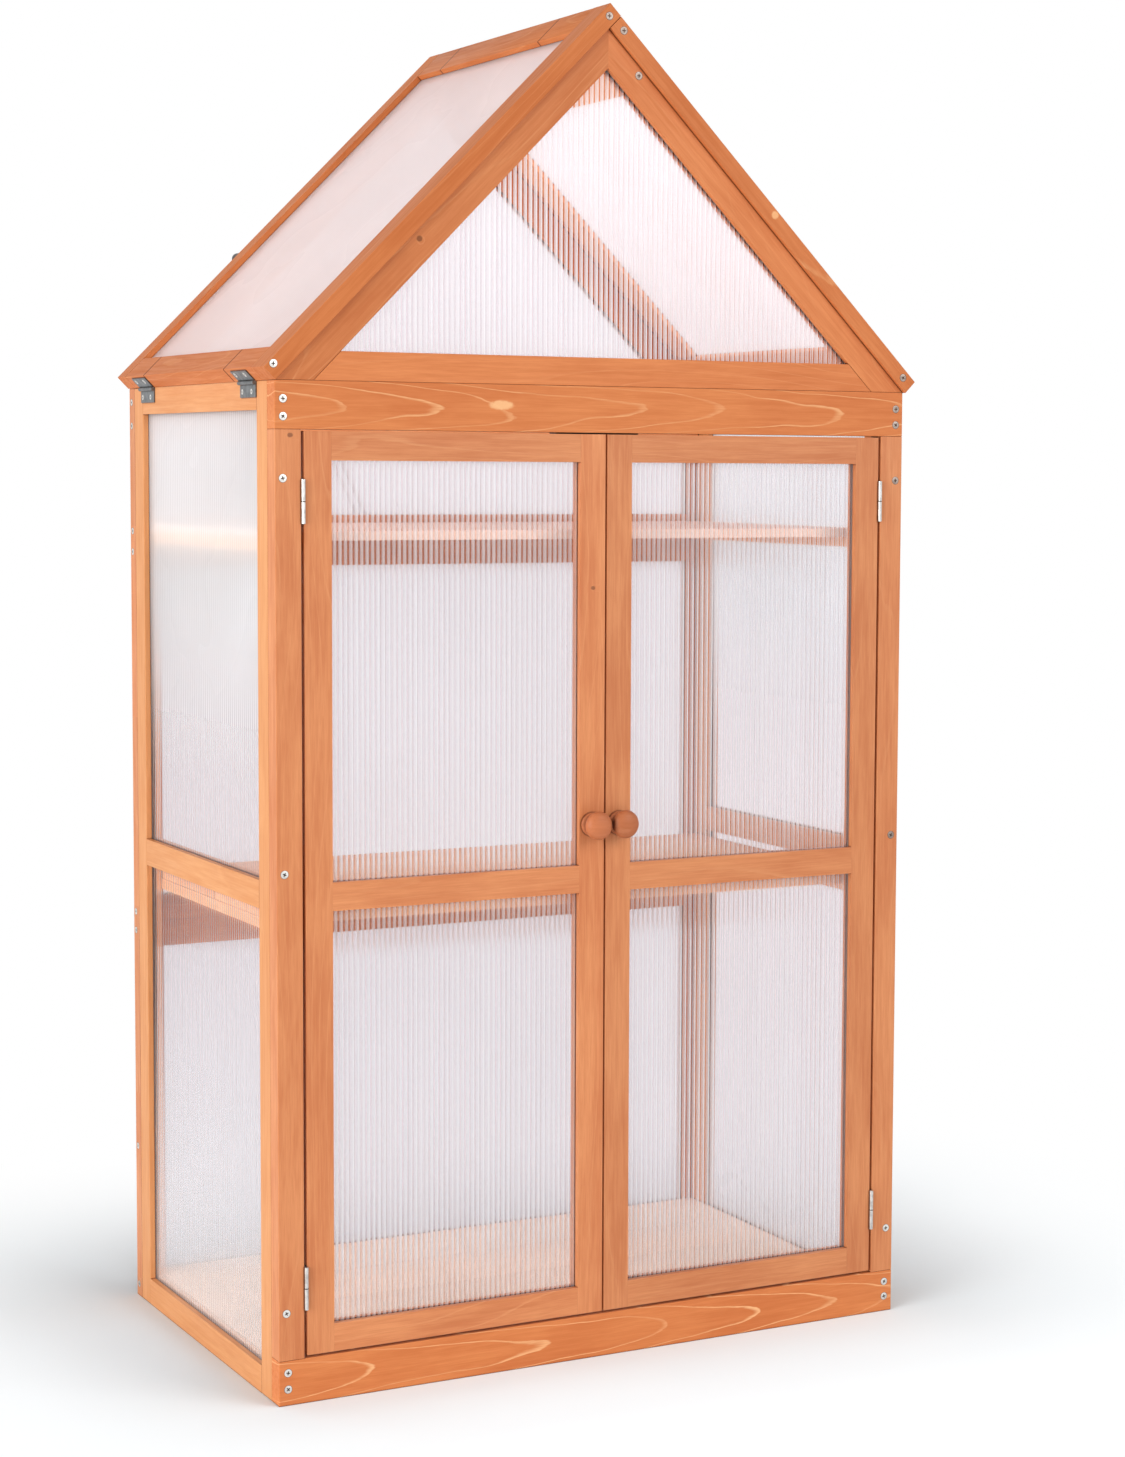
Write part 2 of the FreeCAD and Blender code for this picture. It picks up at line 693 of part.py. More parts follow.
def turned(label, at, profile):
    """Round piece from a half section whose first coordinate is its radius, on the Y axis."""
    body = new_body(label, at)
    sketch = new_sketch(body, "XY", "0")
    draw_outline(sketch, profile)
    turn = body.newObject("PartDesign::Revolution", label + "_turn")
    turn.Profile = sketch
    turn.ReferenceAxis = (sketch, ["V_Axis"])
    turn.Angle = 360
    sketch.Visibility = False
    return body


def knob_profile():
    """Turned knob: base flange, narrow neck and a thick disc with a bevelled face."""
    return [("0", "0"), ("0", "-knob_projection"), ("knob_face_radius", "-knob_projection"),
            ("knob_head_radius", "-knob_rim_end"), ("knob_head_radius", "-knob_neck_end"),
            ("knob_neck_radius", "-knob_neck_end"), ("knob_neck_radius", "-knob_base_thickness"),
            ("knob_base_radius", "-knob_base_thickness"), ("knob_base_radius", "0")]


def door(side):
    """One glazed door with two panes, its knob, the knob's screw and the catch's strike."""
    sign = "-" if side == "left" else ""
    low_x = "-post_face + door_side_gap" if side == "left" else "door_centre_gap / 2"
    name = side + "_door"
    stiles, rails, panes = frame_pieces(
        name, "X", (low_x, "front"), "door_width", "door_foot", "door_top", ["mid_rail_foot"])
    meeting = stiles[1] if side == "left" else stiles[0]
    local_x = ("door_width - knob_inset" if side == "left" else "knob_inset")
    round_pocket(meeting, "XZ", ("%s - (%s)" % (local_x, "door_width - member_width")
                                 if side == "left" else local_x, "knob_height - door_foot"),
                 "knob_screw_radius + bore_play", "0", "wall_thickness")
    group(name + "_stiles", stiles)
    group(name + "_rails", rails)
    group(name + "_panes", panes)
    at = (sign + "knob_x", "front", "knob_height")
    knob = turned(name + "_knob", at, knob_profile())
    round_pocket(knob, "XZ", ("0", "0"), "knob_screw_radius + bore_play",
                 "-knob_screw_reach", "knob_screw_reach")
    node(knob)
    screw = new_body(name + "_knob_screw", at)
    round_pad(screw, "XZ", ("0", "0"), "knob_screw_radius", "bore_play - knob_screw_reach",
              "knob_screw_reach - bore_play + wall_thickness")
    round_pad(screw, "XZ", ("0", "0"), "knob_screw_head_radius", "wall_thickness",
              "knob_screw_head")
    node(screw)
    strike_x = "-magnet_start - magnet_length" if side == "left" else "magnet_start"
    node(box(name + "_strike", (strike_x, "door_back", "magnet_foot"),
             ("magnet_length", "strike_thickness", "magnet_height")))


def door_catch():
    """Double magnetic catch behind the header, one magnet for each door."""
    node(box("door_catch", ("-catch_half_width", "wall_front", "catch_foot"),
             ("2 * catch_half_width", "catch_depth", "catch_height")))
    magnets = []
    for side, foot_x in (("left", "-magnet_start - magnet_length"), ("right", "magnet_start")):
        magnets.append(box(side + "_magnet", (foot_x, "magnet_front", "magnet_foot"),
                           ("magnet_length", "wall_front - magnet_front", "magnet_height")))
    group("catch_magnets", magnets)


def boards(label, top, start, end):
    """Row of loose boards along X between two depths, their joints evenly spread."""
    count = int(SIZES["board_count"])
    pitch = "((%s) - (%s) + board_joint) / %d" % (end, start, count)
    pieces = []
    for index in range(count):
        pieces.append(box("%s_board_%d" % (label, index + 1),
                          ("-board_length / 2", "(%s) + %d * %s" % (start, index, pitch),
                           top + " - board_thickness"),
                          ("board_length", pitch + " - board_joint", "board_thickness")))
    group(label, pieces)


def shelves():
    """Two shelves and the floor, each on a cleat at either side wall."""
    boards("upper_shelf", "upper_shelf_top", "wall_front + shelf_front_gap",
           "wall_rear - shelf_rear_gap")
    boards("middle_shelf", "middle_shelf_top", "wall_front + shelf_front_gap",
           "wall_rear - shelf_rear_gap")
    boards("floor_boards", "floor_top", "wall_front + floor_end_gap",
           "wall_rear - floor_end_gap")
    cleats = []
    for level, top in (("upper", "upper_shelf_top"), ("middle", "middle_shelf_top"),
                       ("floor", "floor_top")):
        for side, foot_x in (("left", "-half_width + wall_thickness"),
                             ("right", "half_width - wall_thickness - cleat_width")):
            cleats.append(box("%s_%s_cleat" % (level, side),
                              (foot_x, "wall_front", top + " - board_thickness - cleat_height"),
                              ("cleat_width", "side_depth", "cleat_height")))
    group("shelf_cleats", cleats)


def stay():
    """Lid stay: slotted bar on a clamping knob at the lid, sliding over a screw in the gable."""
    bar = new_body("stay_bar", ("stay_knob_x", "stay_bar_front", "stay_knob_z"))
    bar.Placement.Rotation = FreeCAD.Rotation(FreeCAD.Vector(0, 1, 0), 0)
    bind(bar, "Placement.Rotation.Angle", "90 - (stay_high_angle + stay_low_angle) / 2")
    slot_end = "stay_open + stay_slot_radius + stay_slot_play"
    far = slot_end + " + stay_end_margin"
    slot_start = "stay_closed - stay_slot_radius - stay_slot_play"
    half = "stay_bar_width / 2"
    pad(bar, "XZ", rectangle("0", "-" + half, far, half), "0", "stay_bar_thickness")
    round_pad(bar, "XZ", ("0", "0"), half, "0", "stay_bar_thickness")
    round_pad(bar, "XZ", (far, "0"), half, "0", "stay_bar_thickness")
    pocket(bar, "XZ", rectangle(slot_start, "-stay_slot_radius", slot_end, "stay_slot_radius"),
           "0", "stay_bar_thickness")
    round_pocket(bar, "XZ", (slot_start, "0"), "stay_slot_radius", "0", "stay_bar_thickness")
    round_pocket(bar, "XZ", (slot_end, "0"), "stay_slot_radius", "0", "stay_bar_thickness")
    round_pocket(bar, "XZ", ("0", "0"), "stay_slot_radius", "0", "stay_bar_thickness")
    node(bar)
    knob = new_body("stay_knob", ("stay_knob_x", "stay_collar_front", "stay_knob_z"))
    shank = "stay_collar_front - roof_rear + stay_bolt_reach"
    round_pad(knob, "XZ", ("0", "0"), "stay_bolt_radius", "-(%s)" % shank, shank)
    round_pad(knob, "XZ", ("0", "0"), "stay_collar_radius", "0", "stay_collar_depth")
    round_pad(knob, "XZ", ("0", "0"), "stay_knob_radius", "stay_collar_depth", "stay_knob_depth")
    node(knob)
    screw = new_body("stay_screw", ("stay_screw_x", "stay_collar_front", "stay_screw_z"))
    reach = "stay_collar_front - rear + stay_bolt_reach - bore_play"
    round_pad(screw, "XZ", ("0", "0"), "stay_bolt_radius", "-(%s)" % reach, reach)
    round_pad(screw, "XZ", ("0", "0"), "stay_screw_head_radius", "0", "stay_screw_head")
    node(screw)


def check_document():
    """Stop before anything is written if a feature failed or a sub-part isn't valid."""
    failed = [item.Name for item in DOC.Objects
              if "Invalid" in item.State or "Error" in item.State]
    if failed:
        raise RuntimeError("failed features: " + ", ".join(failed))
    for item in NODES:
        if item.Shape.isNull() or not item.Shape.isValid():
            raise RuntimeError("bad shape: " + item.Label)


def export_nodes():
    os.makedirs("parts", exist_ok=True)
    for item in NODES:
        item.Shape.exportStep(os.path.join("parts", item.Label + ".step"))
    print("%d nodes, %d solids" % (len(NODES), sum(len(item.Shape.Solids) for item in NODES)))


def report_places():
    """Print the places that the joints and mounts use."""
    for name in ("door_axis_x", "door_axis_y", "lid_axis_x", "lid_axis_z", "stay_knob_x",
                 "stay_knob_z", "stay_screw_x", "stay_screw_z", "stay_closed", "stay_open"):
        print("%s = %.4f" % (name, number(name)))


fill_sheet()
face_frame()
side_walls()
rear_wall()
gable("front", "front")
gable("rear", "wall_rear")
fixed_roof()
lid()
door("left")
door("right")
door_hinges()
lid_hinges()
door_catch()
shelves()
stay()
DOC.recompute()
check_document()
export_nodes()
report_places()
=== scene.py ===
import json
import logging
import math
from dataclasses import dataclass, replace
from enum import Enum

import bmesh
import bpy
from mathutils import Matrix, Vector

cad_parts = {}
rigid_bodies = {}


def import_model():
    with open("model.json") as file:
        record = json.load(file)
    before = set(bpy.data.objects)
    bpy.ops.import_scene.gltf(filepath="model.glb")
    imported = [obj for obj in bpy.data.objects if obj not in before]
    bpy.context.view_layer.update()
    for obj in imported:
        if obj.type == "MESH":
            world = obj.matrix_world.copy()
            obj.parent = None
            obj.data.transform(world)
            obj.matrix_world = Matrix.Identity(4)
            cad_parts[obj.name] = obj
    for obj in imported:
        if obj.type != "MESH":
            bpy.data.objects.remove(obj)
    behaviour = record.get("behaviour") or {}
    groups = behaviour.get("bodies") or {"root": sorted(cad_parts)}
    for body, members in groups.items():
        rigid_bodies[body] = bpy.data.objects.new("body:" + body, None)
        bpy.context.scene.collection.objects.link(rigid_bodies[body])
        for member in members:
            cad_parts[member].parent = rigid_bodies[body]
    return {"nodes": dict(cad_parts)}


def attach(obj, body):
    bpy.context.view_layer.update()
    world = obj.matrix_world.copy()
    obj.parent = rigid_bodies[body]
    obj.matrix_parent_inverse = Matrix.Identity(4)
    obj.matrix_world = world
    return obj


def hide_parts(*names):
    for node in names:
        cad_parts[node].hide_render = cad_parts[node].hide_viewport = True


LOG = logging.getLogger("mini_greenhouse")
MM = 0.001
FRONT = -233.0
REAR = 233.0
CORE = (0.33, 0.67)
Colour = tuple[float, float, float]
Point = tuple[float, float, float]
Material = bpy.types.Material
Node = bpy.types.Node
Socket = bpy.types.NodeSocket
Shape = bmesh.types.BMesh


class Axis(Enum):
    """Axis of the greenhouse: across its front, into its depth, or up."""

    ACROSS = 0
    DEEP = 1
    UP = 2


class Grain(Enum):
    """Way in which the grain of a member runs, as the turn that stands it upright."""

    UPRIGHT = (0.0, 0.0, 0.0)
    ACROSS = (0.0, -math.pi / 2, 0.0)
    DEEP = (math.pi / 2, 0.0, 0.0)
    RISING = (0.0, -math.pi / 4, 0.0)
    FALLING = (0.0, math.pi / 4, 0.0)


@dataclass(frozen=True)
class Figure:
    """Noise pattern: waves a metre, octaves, weight of the finer ones, squeeze along the grain."""

    scale: float
    detail: float = 2.0
    roughness: float = 0.5
    squeeze: float = 1.0


@dataclass(frozen=True)
class Knot:
    """Knot or pale eye in a face: its centre and half height in millimetres, and its form."""

    centre: Point
    half_height: float
    width_share: float = 1.0
    length_share: float = 1.0
    pale: bool = False
    depth_share: float = 0.25
    wobble_share: float = 0.5
    edge: tuple[float, float] = (1.45, 0.95)
    reach: float = 4.0
    darkness: float = 0.85

    @property
    def swirl(self) -> float:
        """Ring levels by which the grain bends round it."""
        return 0.2 if self.pale else 0.7


@dataclass(frozen=True)
class Seam:
    """Tight joint square to one axis: its place and the half width of its line in millimetres."""

    axis: Axis
    at: float
    half_width: float = 0.6
    softness: float = 0.4


def opaque(colour: Colour, share: float = 1.0) -> tuple[float, ...]:
    """Colour with its brightness taken to a share and with a full alpha."""
    return (*(value * share for value in colour), 1.0)


class NodeSheet:
    """Node tree of a material or of the world, with short ways to lay out its nodes."""

    # Painted shade: span of the ambient occlusion over which the crevice shade comes in, and its
    # greatest share.
    crevice_shade_span: tuple[float, float, float, float] = (0.93, 0.48, 0.0, 0.92)

    def __init__(self, owner: Material | bpy.types.World) -> None:
        """Start an empty tree.

        Args:
            owner: New material or world that holds the tree.
        """
        owner.use_nodes = True
        self.owner = owner
        self.tree = owner.node_tree
        self.tree.nodes.clear()
        self.coordinates = self.add("TexCoord").outputs
        self.place = self.coordinates["Object"]

    def add(
        self, kind: str, feeds: dict[str | int, object] | None = None, **settings: object
    ) -> Node:
        """Add a node.

        Args:
            kind: Type of the shader node without its prefix.
            feeds: Input sockets with the value, node or output socket that feeds each.
            settings: Properties of the node.

        Returns:
            The new node.
        """
        node = self.tree.nodes.new("ShaderNode" + kind)
        for key, value in settings.items():
            setattr(node, key, value)
        for key, value in (feeds or {}).items():
            if isinstance(value, Node):
                value = value.outputs[0]
            if isinstance(value, Socket):
                self.tree.links.new(value, node.inputs[key])
            else:
                node.inputs[key].default_value = value
        return node

    def math(
        self, operation: str, first: object, second: object = 0.0, third: object = 0.0
    ) -> Socket:
        """Number that a Math node works out from up to three values or sockets."""
        return self.add("Math", {0: first, 1: second, 2: third}, operation=operation).outputs[0]

    def vector(self, operation: str, first: object, second: object = (0.0, 0.0, 0.0)) -> Socket:
        """Vector that a Vector Math node works out from one or two vectors or sockets."""
        return self.add("VectorMath", {0: first, 1: second}, operation=operation).outputs[0]

    def scaled(self, vector: Socket, factor: Socket) -> Socket:
        """Vector times a number."""
        return self.add(
            "VectorMath", {0: vector, "Scale": factor}, operation="SCALE").outputs[0]

    def length(self, vector: Socket) -> Socket:
        """Length of a vector."""
        return self.add("VectorMath", {0: vector}, operation="LENGTH").outputs["Value"]

    def split(self, vector: Socket) -> bpy.types.NodeOutputs:
        """Three components of a vector, each a socket."""
        return self.add("SeparateXYZ", {0: vector}).outputs

    def span(
        self, value: object, start: float, end: float, low: float = 0.0, high: float = 1.0
    ) -> Socket:
        """Value mapped softly from the range of start to end onto low to high."""
        feeds = {0: value, 1: start, 2: end, 3: low, 4: high}
        return self.add("MapRange", feeds, interpolation_type="SMOOTHSTEP").outputs[0]

    def blend(self, share: object, first: object, second: object) -> Socket:
        """Colour blended from two colours or sockets, by the second one's share."""
        return self.add("Mix", {0: share, 6: first, 7: second}, data_type="RGBA").outputs[2]

    def cross(self, share: object, first: Node, second: Node) -> Node:
        """Shader mixed from two shaders, by the second one's share."""
        return self.add("MixShader", {0: share, 1: first, 2: second})

    def noise(self, place: Socket, figure: Figure) -> Socket:
        """Add a noise pattern.

        Args:
            place: Socket of the coordinates.
            figure: Size and octaves of the pattern.

        Returns:
            The socket of the noise value.
        """
        if figure.squeeze != 1.0:
            place = self.vector("MULTIPLY", place, (1.0, 1.0, figure.squeeze))
        return self.add("TexNoise", {
            "Vector": place, "Scale": figure.scale, "Detail": figure.detail,
            "Roughness": figure.roughness}).outputs[0]

    def bump(self, height: Socket, strength: float, depth: float) -> Node:
        """Normal of a surface raised by a height of 0 to 1 times a depth in metres."""
        return self.add("Bump", {"Height": height, "Strength": strength, "Distance": depth})

    def paint_crevice_shade_and_seams(
        self, colour: Socket, joint: Colour, reach: float, seams: tuple[Seam, ...]
    ) -> Socket:
        """Paint shade into a finish in joints and narrow gaps, and draw the tight joints as dark
        lines.

        Args:
            colour: Socket of the finish's colour.
            joint: Colour of the painted shade deep in a joint or gap, and of the seam lines.
            reach: Distance in metres over which the neighbouring faces cast the painted shade.
            seams: Tight joints that are drawn as lines.

        Returns:
            The socket of the colour with the painted shade and the seam lines.
        """
        # Painted shade: the ambient occlusion darkens the colour in joints, gaps and inside
        # corners.
        openness = self.add("AmbientOcclusion", {"Distance": reach}, samples=4).outputs["AO"]
        colour = self.blend(self.span(openness, *self.crevice_shade_span), colour, opaque(joint))
        if not seams:
            return colour
        parts = self.split(self.place)
        share = 0.0
        for seam in seams:
            away = self.math("ABSOLUTE", self.math(
                "SUBTRACT", parts[seam.axis.value], seam.at * MM))
            half = seam.half_width * MM
            line = self.span(away, half * (1.0 + seam.softness), half * (1.0 - seam.softness))
            share = self.math("MAXIMUM", line, share)
        return self.blend(share, colour, opaque(joint))

    def finish(self, surface: Node, output: str = "OutputMaterial") -> Material | bpy.types.World:
        """Material or world of the tree, once its surface is connected."""
        self.add(output, {"Surface": surface})
        return self.owner


@dataclass(frozen=True)
class Parting:
    """Grid in metres whose cells tell one node's members apart, each with its own grain."""

    start: Point = (-5.0, -5.0, -5.0)
    pitch: Point = (10.0, 10.0, 10.0)


@dataclass(frozen=True)
class StainedSoftwood:
    """Planed fir under a thin satin stain: long soft streaks, pale ring lines, a few knots."""

    ground: Colour = (0.70, 0.268, 0.104)
    deep: Colour = (0.52, 0.150, 0.048)
    ring: Colour = (0.82, 0.40, 0.18)
    knot: Colour = (0.22, 0.065, 0.022)
    # Colour of the seam lines and of the painted shade in joints and gaps, and the reach of that
    # painted shade.
    joint: Colour = (0.15, 0.034, 0.012)
    crevice_shade_reach: float = 0.002
    streak: Figure = Figure(230.0, 4.0, 0.62, 0.05)
    streak_depth: float = 0.4
    cloud: Figure = Figure(20.0, 4.0, 0.62, 0.3)
    cloud_depth: float = 0.5
    fibre: Figure = Figure(1100.0, 2.0, 0.7, 0.03)
    fibre_shown: tuple[float, float, float, float] = (0.38, 0.66, 0.0, 0.3)
    member_shift: Point = (0.9, 0.9, 7.0)
    darkest_member: float = 0.93
    member_tones: float = 0.14
    ring_strength: float = 0.22
    ring_least: float = 0.55
    ring_chance: float = 0.9
    ring_fade: tuple[float, float, float, float] = (0.38, 0.6, 0.35, 1.0)
    ring_field: Figure = Figure(15.0, 1.0, 0.4, 0.12)
    ring_levels: float = 10.4
    ring_slope: float = 75.0
    ring_lean: float = 0.55
    ring_rise: tuple[float, float] = (0.86, 0.955)
    ring_fall: tuple[float, float] = (0.995, 0.965)
    ripple: Figure = Figure(160.0, squeeze=0.2)
    ripple_levels: float = 0.16
    arch_pitch: float = 0.0
    arch_bend: float = 0.0
    arch_middle: float = 0.0
    arch_warp: Figure = Figure(9.0, squeeze=0.5)
    warp_levels: float = 2.2
    knot_wobble: Figure = Figure(260.0)
    satin: float = 0.46
    satin_spread: tuple[float, float] = (-0.07, 0.1)
    sheen: float = 0.40
    relief: float = 0.00025
    weld_gap: float = 0.00001
    edge: float = 0.7

    def material(
        self,
        name: str,
        grain: Grain,
        parting: Parting = Parting(),
        seed: float = 0.0,
        folded: bool = False,
        upright_beyond: float = 0.0,
        knots: tuple[Knot, ...] = (),
        seams: tuple[Seam, ...] = (),
    ) -> Material:
        """Make the finish for one run of members.

        Args:
            name: Name of the material.
            grain: Way in which the grain runs.
            parting: Grid that tells the members apart.
            seed: Number that gives this run another pattern.
            folded: True where the left and right members mirror each other.
            upright_beyond: Distance from the middle beyond which the members stand upright.
            knots: Knots at known places.
            seams: Joints that show as dark lines.

        Returns:
            The material.
        """
        sheet = NodeSheet(bpy.data.materials.new(name))
        run = self.run_of(sheet, grain, folded, upright_beyond)
        cell = sheet.vector(
            "DIVIDE", sheet.vector("SUBTRACT", sheet.place, parting.start), parting.pitch)
        tag = sheet.vector("ADD", sheet.vector("FLOOR", cell), (seed, seed * 0.37, -seed))
        chance = sheet.add("TexWhiteNoise", {"Vector": tag}, noise_dimensions="3D").outputs["Color"]
        member = sheet.add("SeparateColor", {0: chance}).outputs
        moved = sheet.vector("ADD", run, sheet.vector("MULTIPLY", chance, self.member_shift))
        rings, eyes = self.rings_of(sheet, run, moved, knots)
        streak = sheet.noise(moved, self.streak)
        fibre = sheet.noise(moved, self.fibre)
        cloud = sheet.noise(moved, self.cloud)
        depth = sheet.math(
            "MULTIPLY_ADD", sheet.span(cloud, *CORE), self.cloud_depth,
            sheet.math("MULTIPLY", sheet.span(streak, *CORE), self.streak_depth))
        stain = sheet.blend(depth, opaque(self.ground), opaque(self.deep))
        shown = sheet.math(
            "MULTIPLY", sheet.math("MULTIPLY", rings, sheet.span(cloud, *self.ring_fade)),
            sheet.math("MULTIPLY_ADD", member[0], self.ring_chance * self.ring_strength,
                       self.ring_least * self.ring_strength))
        stain = sheet.blend(shown, stain, opaque(self.ring))
        stain = sheet.blend(sheet.span(fibre, *self.fibre_shown), stain, opaque(self.deep))
        for knot, eye in zip(knots, eyes):
            stain = sheet.blend(eye, stain, opaque(self.ring if knot.pale else self.knot))
        stain = sheet.scaled(stain, sheet.math(
            "MULTIPLY_ADD", member[1], self.member_tones, self.darkest_member))
        height = sheet.math(
            "ADD", sheet.math("MULTIPLY", fibre, 0.6), sheet.math("MULTIPLY", rings, 0.5))
        gloss = [self.satin + step for step in self.satin_spread]
        return sheet.finish(sheet.add("BsdfPrincipled", {
            # Painted shade in joints and gaps, and dark seam lines.
            "Base Color": sheet.paint_crevice_shade_and_seams(stain, self.joint, self.crevice_shade_reach, seams),
            "Roughness": sheet.span(streak, 0.25, 0.8, *gloss),
            "Specular IOR Level": self.sheen,
            "Normal": sheet.bump(height, 0.35, self.relief),
        }))

    def cover(self, *nodes: str, **choices: object) -> Material:
        """Give wooden nodes the finish, named for the first of them, and softened edges.

        Args:
            nodes: Names of the nodes.
            choices: Grain, parting, seed and what else the finish depends on.

        Returns:
            The material.
        """
        material = self.material("fir_" + nodes[0], **choices)
        dress(material, *nodes)
        for name in nodes:
            modifiers = frame["nodes"][name].modifiers
            modifiers.new("weld", "WELD").merge_threshold = self.weld_gap
            flat = modifiers.new("flat", "DECIMATE")
            flat.decimate_type = "DISSOLVE"
            flat.angle_limit = math.radians(0.5)
            bevel = modifiers.new("bevel", "BEVEL")
            bevel.width = self.edge * MM
            bevel.segments = 2
            bevel.limit_method = "ANGLE"
            bevel.angle_limit = math.radians(32)
            bevel.use_clamp_overlap = True
        return material

    def run_of(
        self, sheet: NodeSheet, grain: Grain, folded: bool, upright_beyond: float
    ) -> Socket:
        """Turn the coordinates so that the grain runs along their third axis.

        Args:
            sheet: Node tree of the material.
            grain: Way in which the grain runs.
            folded: True where the left and right members mirror each other.
            upright_beyond: Distance from the middle beyond which the members stand upright.

        Returns:
            The socket of the turned coordinates.
        """
        parts = sheet.split(sheet.place)
        aside = sheet.math("ABSOLUTE", parts[0])
        start = sheet.place
        if folded:
            start = sheet.add("CombineXYZ", {
                0: sheet.math("MULTIPLY", aside, -1.0), 1: parts[1], 2: parts[2]}).outputs[0]
        run = sheet.add("Mapping", {"Vector": start, "Rotation": grain.value}).outputs[0]
        if not upright_beyond:
            return run
        stands = sheet.math("GREATER_THAN", aside, upright_beyond)
        return sheet.add(
            "Mix", {0: stands, 4: run, 5: sheet.place}, data_type="VECTOR").outputs[1]

    def rings_of(
        self, sheet: NodeSheet, run: Socket, moved: Socket, knots: tuple[Knot, ...]
    ) -> tuple[Socket, list[Socket]]:
        """Lay out the ring lines as contours of a long soft field, bent round the knots.

        Args:
            sheet: Node tree of the material.
            run: Socket of the coordinates along the grain.
            moved: Socket of the same coordinates, moved by each member's chance.
            knots: Knots at known places.

        Returns:
            The socket of the ring lines and the sockets of the knots.
        """
        parts = sheet.split(moved)
        slope = sheet.math("MULTIPLY_ADD", parts[1], self.ring_lean, parts[0])
        level = sheet.math("MULTIPLY_ADD", slope, self.ring_slope, sheet.math(
            "MULTIPLY", sheet.noise(moved, self.ring_field), self.ring_levels))
        if self.arch_pitch:
            sides = sheet.split(run)
            rise = sheet.math("SUBTRACT", sides[0], self.arch_middle)
            level = sheet.math(
                "MULTIPLY_ADD", sheet.math("MULTIPLY", rise, rise), self.arch_bend, level)
            level = sheet.math("MULTIPLY_ADD", sides[2], 1.0 / self.arch_pitch, level)
            warp = sheet.noise(moved, self.arch_warp)
            level = sheet.math("MULTIPLY_ADD", warp, self.warp_levels, level)
        ripple = sheet.noise(moved, self.ripple)
        level = sheet.math("MULTIPLY_ADD", ripple, self.ripple_levels, level)
        eyes = []
        for knot in knots:
            centre = tuple(MM * value for value in knot.centre)
            gap = sheet.add("Mapping", {
                "Vector": sheet.vector("SUBTRACT", sheet.place, centre),
                "Scale": (knot.width_share, knot.depth_share, 1.0 / knot.length_share),
            }).outputs[0]
            size = knot.half_height * MM
            far = sheet.math(
                "MULTIPLY_ADD", sheet.noise(sheet.place, self.knot_wobble),
                size * knot.wobble_share, sheet.length(gap))
            outer, inner = (size * share for share in knot.edge)
            eyes.append(sheet.span(far, outer, inner, 0.0, knot.darkness))
            level = sheet.math(
                "ADD", level, sheet.span(far, size * knot.reach, size, 0.0, knot.swirl))
        phase = sheet.math("FRACT", level)
        return sheet.math(
            "MULTIPLY", sheet.span(phase, *self.ring_rise), sheet.span(phase, *self.ring_fall),
        ), eyes


